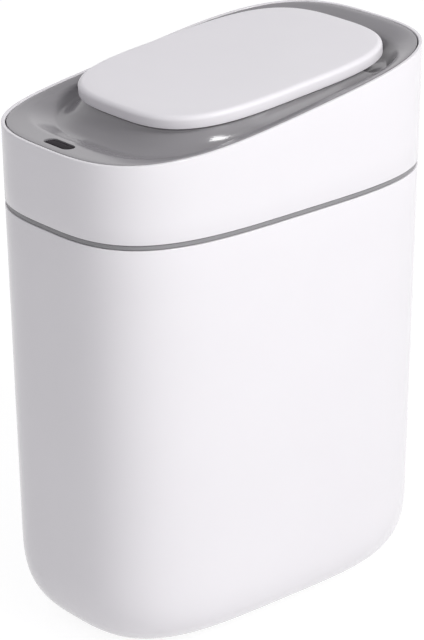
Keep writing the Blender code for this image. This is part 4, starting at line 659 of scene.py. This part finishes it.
def smoked_window():
    made = Shader("window_dark", (0.012, 0.007, 0.013), 0.22, extra={"IOR": 1.08})
    made.vary(90, 0.4)
    made.bump(made.noise(300, 1.0), 0.0000008)
    return made


def plated_steel():
    """Steel with faint lines along its length."""
    made = Shader("plated_steel", (0.60, 0.60, 0.615), 0.28, 1.0)
    made.rough(900, 0.20, 0.38, 4.0, (1, 1, 14))
    made.vary(70, 0.05)
    made.bump(made.noise(1800, 2.0, (1, 1, 10)), 0.000004)
    return made


def circuit_board():
    """Copper tracks under green solder mask, from a blocky cell texture."""
    made = Shader("board_green", (0.018, 0.16, 0.06), 0.34)
    cells = made.node("ShaderNodeTexVoronoi", Scale=420)
    cells.distance = "MANHATTAN"
    made.link(made.place, cells.inputs["Vector"])
    made.link(made.ramp(cells.outputs["Distance"], MASK_STOPS), made.main.inputs["Base Color"])
    made.bump(cells.outputs["Distance"], 0.00003)
    made.rough(300, 0.28, 0.42)
    return made


def cell_jacket():
    """A cell's printed jacket: a dark body with pale bands at its ends."""
    made = Shader("cell_jacket", (0.10, 0.14, 0.20), 0.30)
    split = made.node("ShaderNodeSeparateXYZ")
    made.link(made.place, split.inputs["Vector"])
    along = made.node("ShaderNodeMapRange", From_Min=JACKET_SPAN[0], From_Max=JACKET_SPAN[1])
    made.link(split.outputs["X"], along.inputs["Value"])
    made.link(made.ramp(along.outputs["Result"], JACKET_STOPS), made.main.inputs["Base Color"])
    made.rough(200, 0.24, 0.36)
    return made


def build_materials():
    shaders = {key: moulded(*values) for key, values in PLASTICS.items()}
    shell = shaders["shell"]
    shell.bump(shell.noise(SHELL_WAVE_SCALE, 1.0), SHELL_WAVE_DEPTH)
    shaders.update(window=smoked_window(), steel=plated_steel(), board=circuit_board(),
                   cell=cell_jacket())
    return {key: shader.material for key, shader in shaders.items()}


MATERIALS = build_materials()


# Visible pieces


def base_inset(share):
    """How far the round base draws in at a share of its rise."""
    down = (1 - share) ** ROUND_POWER
    return ROUND_INSET * (1 - (1 - down) ** (1 / ROUND_POWER))


def build_tub():
    shares = [(i / ROUND_STEPS) ** ROUND_CROWDING for i in range(ROUND_STEPS + 1)]
    round_top = FOOT_PROUD + ROUND_RISE
    inner_low = FOOT_PROUD + TUB_FLOOR
    heights = [round_top + (TUB_TOP - round_top) * i / SIDE_STEPS for i in range(1, SIDE_STEPS)]
    outside = [level_ring(base_inset(s), FOOT_PROUD + s * ROUND_RISE) for s in shares]
    outside += [level_ring(0, z) for z in heights]
    inside = [level_ring(base_inset(s) + TUB_WALL, inner_low + s * (ROUND_RISE - TUB_FLOOR))
              for s in shares]
    inside += [level_ring(TUB_WALL, z) for z in heights]
    edge = edge_rings(lambda inset, drop: level_ring(inset, TUB_TOP - drop), TUB_EDGE, TUB_WALL)
    mesh = loft("tub_shell", outside + edge + inside[::-1])
    piece("tub_shell", mesh, "shell", "bin", ["outer_tub"])


def build_bag_ring():
    low, high = TUB_TOP + GAP, HEAD_LOW - GAP
    foot = TUB_TOP - SKIRT_DEPTH
    bevel = RING_BEVEL
    path = [
        (BAND_INSET + bevel, low), (BAND_INSET, low + bevel),
        (BAND_INSET, high - bevel), (BAND_INSET + bevel, high),
        (SKIRT_INNER - bevel, high), (SKIRT_INNER, high - bevel),
        (SKIRT_INNER, foot + bevel), (SKIRT_INNER - bevel, foot),
        (SKIRT_OUTER + bevel, foot), (SKIRT_OUTER, foot + bevel),
        (SKIRT_OUTER, low),
    ]
    mesh = loft("bag_band", [level_ring(inset, z) for inset, z in path], closed=True)
    piece("bag_band", mesh, "band", "bag_frame", ["bag_ring"])


def build_head():
    flange_low = HEAD_LOW + 2 * GAP + COVER_WALL
    flange_top = flange_low + FLANGE_WALL
    ledge_low = LEDGE_DROP + LEDGE_WALL
    rings = [level_ring(inset, HEAD_LOW + rise) for inset, rise in LOW_EDGE]
    for share in SIDE_SHARES:
        heights = [HEAD_LOW + (z - HEAD_LOW) * share for _, _, z in rim_ring(0, RIM_EDGE)]
        rings.append([(*body_point(i, 0, z), z) for i, z in enumerate(heights)])
    rings += edge_rings(rim_ring, RIM_EDGE, WALL)
    rings += [
        rim_ring(WALL, LEDGE_DROP), rim_ring(WALL + LEDGE_REACH, LEDGE_DROP),
        rim_ring(WALL + LEDGE_REACH, ledge_low), rim_ring(WALL, ledge_low + LEDGE_REACH),
        level_ring(WALL, flange_top), level_ring(WALL + FLANGE_REACH, flange_top),
        level_ring(WALL + FLANGE_REACH, flange_low), level_ring(WALL, flange_low),
        level_ring(WALL, HEAD_LOW + LOW_BEVEL), level_ring(WALL - LOW_BEVEL, HEAD_LOW),
    ]
    mesh = loft("head_band", rings, closed=True)
    piece("head_band", mesh, "shell", "head", ["head_shell"])


def lip_rings():
    """Across the lip, which dips behind, and over its rounded inner edge."""
    outer = rim_ring(WALL + LIP_GAP + LIP_EDGE, LIP_DROP)
    inner = raised(grown(SHOULDER), lip_z)
    rings = []
    for share in LIP_SHARES:
        ring = []
        for a, b in zip(outer, inner):
            x, y, z = mixed(a, b, share)
            ring.append((x, y, z - REAR_DIP * share**2 * fade(b[1], DIP_FADE)))
        rings.append(ring)
    edge = rings[-1]
    far = grown(SHOULDER, -LIP_ROUND)
    for i in range(1, LIP_ROUND_STEPS + 1):
        angle = LIP_SLOPE * i / LIP_ROUND_STEPS
        ring = []
        for (x, y, z), target in zip(edge, far):
            size = 1 - fade(y, REAR_FADE) - fade(-y, FRONT_FADE)
            ring.append((*mixed((x, y), target, size * sin(angle)),
                         z - LIP_ROUND * size * (1 - cos(angle))))
        rings.append(ring)
    return rings


def straightened(point, start, end, step, foot):
    """A point pulled towards the straight line in the rear corners."""
    return mixed(point, mixed(start, end, step / BOWL_LEVELS),
                 corner_share(foot) * CORNER_STRAIGHT)


def wall_rings(shoulder, foot):
    """The bowl's wall down to the foot line, with profiles for sides, front and rear."""
    profiles = [between(shoulder, foot, shares)
                for shares in (BOWL_SHARES, FRONT_SHARES, REAR_SHARES)]
    rings = []
    for step, levels in enumerate(zip(*profiles)):
        ring = []
        for s, f, side, front, rear in zip(shoulder, foot, *levels):
            point = mixed(side, front, fade(-s[1], FRONT_FADE))
            point = mixed(point, rear, fade(s[1], REAR_FADE))
            ring.append(straightened(point, s, f, step, f))
        rings.append(ring)
    return rings


def ramp_rings(foot, top):
    """The ramp above the foot line, with profiles for sides and ends."""
    profiles = [between(foot, top, shares) for shares in (SIDE_RAMP_SHARES, RAMP_SHARES)]
    rings = []
    for step, levels in enumerate(zip(*profiles)):
        ring = []
        for f, t, side, end in zip(foot, top, *levels):
            point = mixed(side, end, max(fade(-f[1], RAMP_FADE), fade(f[1], REAR_FADE)))
            ring.append(straightened(point, f, t, step, f))
        rings.append(ring)
    return rings[1:]


def collar_rings():
    """Over the collar's round top and down to the mouth."""
    radius = COLLAR_WIDTH / 2
    rings = []
    for i in range(1, COLLAR_STEPS + 1):
        angle = pi * i / COLLAR_STEPS
        rings.append(raised(collar(COLLAR_INSET + radius * (1 - cos(angle))),
                            lambda y, a=angle: collar_z(y) - radius * (1 - sin(a))))
    inner = rings[-1]
    mouth = raised(grown(MOUTH, MOUTH_ROUND), floor_z)
    for i in range(1, MOUTH_STEPS):
        rings.append([mixed(a, b, i / MOUTH_STEPS) for a, b in zip(inner, mouth)])
    return rings


def bowl_rings():
    """From the lip down to the foot line, up to the collar and down to the mouth."""
    edge = lip_rings()
    foot = foot_ring(0, 0)
    top = raised(collar(COLLAR_INSET), lambda y: collar_z(y) - COLLAR_WIDTH / 2)
    return edge[:-1] + wall_rings(edge[-1], foot) + ramp_rings(foot, top) + collar_rings()


def under_rings():
    """The tray's underside, from the mouth back to the skirt."""
    skirt = WALL + LIP_GAP + TRAY_WALL
    core = raised(collar(COLLAR_INSET + COLLAR_WIDTH / 2), core_z)
    return [
        raised(grown(MOUTH), lambda y: MOUTH_LOW + MOUTH_BEVEL),
        raised(grown(MOUTH, MOUTH_BEVEL), lambda y: MOUTH_LOW),
        raised(grown(MOUTH, TRAY_WALL), lambda y: MOUTH_LOW),
        raised(grown(MOUTH, TRAY_WALL), lambda y: floor_z(y) - TRAY_WALL - MOUTH_WEB),
        raised(collar(COLLAR_INSET + COLLAR_WIDTH), core_z),
        *between(foot_ring(0, TRAY_WALL), core, RAMP_SHARES)[::-UNDER_STRIDE],
        foot_ring(TRAY_WALL, TRAY_WALL / 2),
        raised(grown(SHOULDER, TRAY_WALL / 2), lambda y: lip_z(y) - TRAY_WALL),
        rim_ring(skirt, LIP_DROP + TRAY_WALL),
        rim_ring(skirt, LIP_DROP + TRAY_SKIRT),
    ]


def arm_outline():
    """One hinge arm from the side: a knuckle on a post that stands in the bowl."""
    y, z = HINGE.y, HINGE.z
    front = y - ARM_REACH
    back = front + ARM_POST
    under = z - ARM_RADIUS
    return circle((y, z), ARM_RADIUS, ARM_STEPS, pi / 2, -pi, False) + [
        (back + ARM_FILLET, under),
        (back + ARM_FILLET_MIDDLE, under - ARM_FILLET_MIDDLE),
        (back, under - ARM_FILLET),
        (back, floor_z(back) - TRAY_WALL / 2),
        (front, floor_z(front) - TRAY_WALL / 2),
        (front, z + ARM_RADIUS - ARM_REACH * TILT_SHARE),
    ]


def build_tray():
    skirt = WALL + LIP_GAP
    rings = [rim_ring(skirt, LIP_DROP + TRAY_SKIRT)]
    rings += [rim_ring(skirt + LIP_EDGE * (1 - c), LIP_DROP + LIP_EDGE * (1 - s))
              for s, c in quarter_turn(LIP_EDGE_STEPS)]
    rings += bowl_rings()
    for s, c in quarter_turn(MOUTH_STEPS):
        rings.append(raised(grown(MOUTH, MOUTH_ROUND * (1 - s)),
                            lambda y, drop=MOUTH_ROUND * (1 - c): floor_z(y) - drop))
    mesh = loft("funnel_tray", rings + under_rings(), closed=True)
    arms = [prism(arm_outline(), side * ARM_X - ARM_HALF, side * ARM_X + ARM_HALF, "X")
            for side in (-1, 1)]
    mesh = boolean(mesh, arms, "UNION")
    lip, floor = lip_z(SENSOR_Y), floor_z(DRIVE_Y)
    cuts = [
        prism(circle((HINGE.y, HINGE.z), BORE_RADIUS, BORE_STEPS), -BORE_HALF, BORE_HALF, "X"),
        prism(pill(WINDOW[0] + WINDOW_PLAY, WINDOW[1] + WINDOW_PLAY),
              lip - CUT_BELOW, lip + CUT_ABOVE),
        block((-DRIVE_HALF_X, DRIVE_Y - DRIVE_HALF_Y, floor - CUT_BELOW),
              (DRIVE_HALF_X, DRIVE_Y + DRIVE_HALF_Y, floor + CUT_ABOVE)),
    ]
    mesh = boolean(mesh, cuts, "DIFFERENCE")
    piece("funnel_tray", mesh, "tray", "head", ["tray"])


def lid_ring(inset, z):
    """A ring of the lid's outline in the lid's own frame."""
    width, length, centre, side, end = LID_SIZE
    points = oval(width - inset, length - inset, centre, end, end, side)
    return [tuple(LID_FRAME @ Vector((x, y, z))) for x, y in points]


def build_lid():
    path = [(inset, LID_TOP) for inset in LID_FLAT]
    path += [(LID_ROUND * (1 - s), LID_TOP - LID_ROUND * (1 - c))
             for s, c in quarter_turn(LID_ROUND_STEPS)]
    path += [(LID_LOW_ROUND * (1 - c), LID_LOW + LID_LOW_ROUND * (1 - s))
             for s, c in quarter_turn(LID_LOW_STEPS)]
    path += [(LID_WALL - LID_BEVEL, LID_LOW), (LID_WALL, LID_LOW + LID_BEVEL)]
    path += [(LID_WALL + inset, LID_TOP - LID_WALL - drop) for inset, drop in LID_INSIDE]
    mesh = loft("lid_cap", [lid_ring(inset, z) for inset, z in path])
    piece("lid_cap", mesh, "lid", "lid", ["lid_plate"])


def build_window():
    top = lip_z(SENSOR_Y) - LENS_SINK
    path = []
    for i in range(LENS_STEPS + 1):
        share = i / LENS_STEPS
        path.append((LENS_INSET - LENS_REACH * share, top + LENS_CROWN * (1 - share**2)))
    path += [(inset, top - drop) for inset, drop in LENS_EDGE]
    mesh = loft("window_lens", [[(x, y, z) for x, y in pill(*WINDOW, inset)]
                                for inset, z in path])
    piece("window_lens", mesh, "window", "head", ["sensor_window"])


def dress_cad_nodes():
    """Materials on the CAD nodes, most of which stay in view inside the head."""
    for entry in frame["record"]["subparts"]:
        slots = NODES[entry["node"]].data.materials
        slots.clear()
        slots.append(MATERIALS[SLOT_MATERIALS[entry["material_slot"]]])


# Camera, floor, light and background


def build_camera():
    data = bpy.data.cameras.new("camera")
    data.lens = LENS
    data.sensor_width = SENSOR_WIDTH
    data.clip_start, data.clip_end = CLIP
    camera = add_to_scene("camera", data)
    camera.matrix_world = Matrix(CAMERA_MATRIX)
    bpy.context.scene.camera = camera


def shade_by_ray(tree, plain, seen, output):
    """One shader lights the object, the other meets rays that look at the studio."""
    path = tree.nodes.new("ShaderNodeLightPath")
    looks = path.outputs["Is Camera Ray"]
    for name in ("Is Glossy Ray", "Is Transmission Ray"):
        add = tree.nodes.new("ShaderNodeMath")
        add.operation = "MAXIMUM"
        tree.links.new(looks, add.inputs[0])
        tree.links.new(path.outputs[name], add.inputs[1])
        looks = add.outputs[0]
    mix = tree.nodes.new("ShaderNodeMixShader")
    out = tree.nodes.new(output)
    tree.links.new(looks, mix.inputs["Fac"])
    tree.links.new(plain.outputs[0], mix.inputs[1])
    tree.links.new(seen.outputs[0], mix.inputs[2])
    tree.links.new(mix.outputs[0], out.inputs["Surface"])


def build_world():
    world = bpy.data.worlds.new("studio")
    bpy.context.scene.world = world
    world.use_nodes = True
    tree = world.node_tree
    tree.nodes.clear()
    seen, fill = (tree.nodes.new("ShaderNodeBackground") for _ in range(2))
    place = tree.nodes.new("ShaderNodeTexCoord")
    split = tree.nodes.new("ShaderNodeSeparateXYZ")
    ramp = tree.nodes.new("ShaderNodeValToRGB")
    for element, (rise, colour) in zip(ramp.color_ramp.elements, SEEN_STOPS):
        element.position = rise
        element.color = (*colour, 1)
    tree.links.new(place.outputs["Generated"], split.inputs[0])
    tree.links.new(split.outputs["Z"], ramp.inputs["Fac"])
    tree.links.new(ramp.outputs["Color"], seen.inputs["Color"])
    fill.inputs["Color"].default_value = (*AMBIENT_COLOUR, 1)
    fill.inputs["Strength"].default_value = AMBIENT
    shade_by_ray(tree, fill, seen, "ShaderNodeOutputWorld")


def build_floor():
    mesh = bpy.data.meshes.new("floor")
    corners = [(x * FLOOR_REACH, y * FLOOR_REACH, 0)
               for x, y in ((-1, -1), (1, -1), (1, 1), (-1, 1))]
    mesh.from_pydata(corners, [], [(0, 1, 2, 3)])
    floor = add_to_scene("floor", mesh)
    material = bpy.data.materials.new("floor_pale")
    material.use_nodes = True
    tree = material.node_tree
    tree.nodes.clear()
    plain, dim = (tree.nodes.new("ShaderNodeBsdfDiffuse") for _ in range(2))
    plain.inputs["Color"].default_value = (*FLOOR_COLOUR, 1)
    dim.inputs["Color"].default_value = (*FLOOR_SEEN, 1)
    glow = tree.nodes.new("ShaderNodeEmission")
    glow.inputs["Strength"].default_value = FLOOR_GLOW
    seen = tree.nodes.new("ShaderNodeAddShader")
    tree.links.new(dim.outputs[0], seen.inputs[0])
    tree.links.new(glow.outputs[0], seen.inputs[1])
    shade_by_ray(tree, plain, seen, "ShaderNodeOutputMaterial")
    mesh.materials.append(material)


def build_lamps():
    for name, place, target, width, height, power in LAMPS:
        data = bpy.data.lights.new(name, "AREA")
        data.shape = "RECTANGLE"
        data.size = width
        data.size_y = height
        data.energy = power
        lamp = add_to_scene(name, data)
        lamp.location = place
        aim = Vector(target) - Vector(place)
        lamp.rotation_euler = aim.to_track_quat("-Z", "Y").to_euler()


build_tub()
build_bag_ring()
build_head()
build_tray()
build_lid()
build_window()
dress_cad_nodes()
build_camera()
build_world()
build_floor()
build_lamps()

bpy.context.scene.view_settings.view_transform = "Standard"
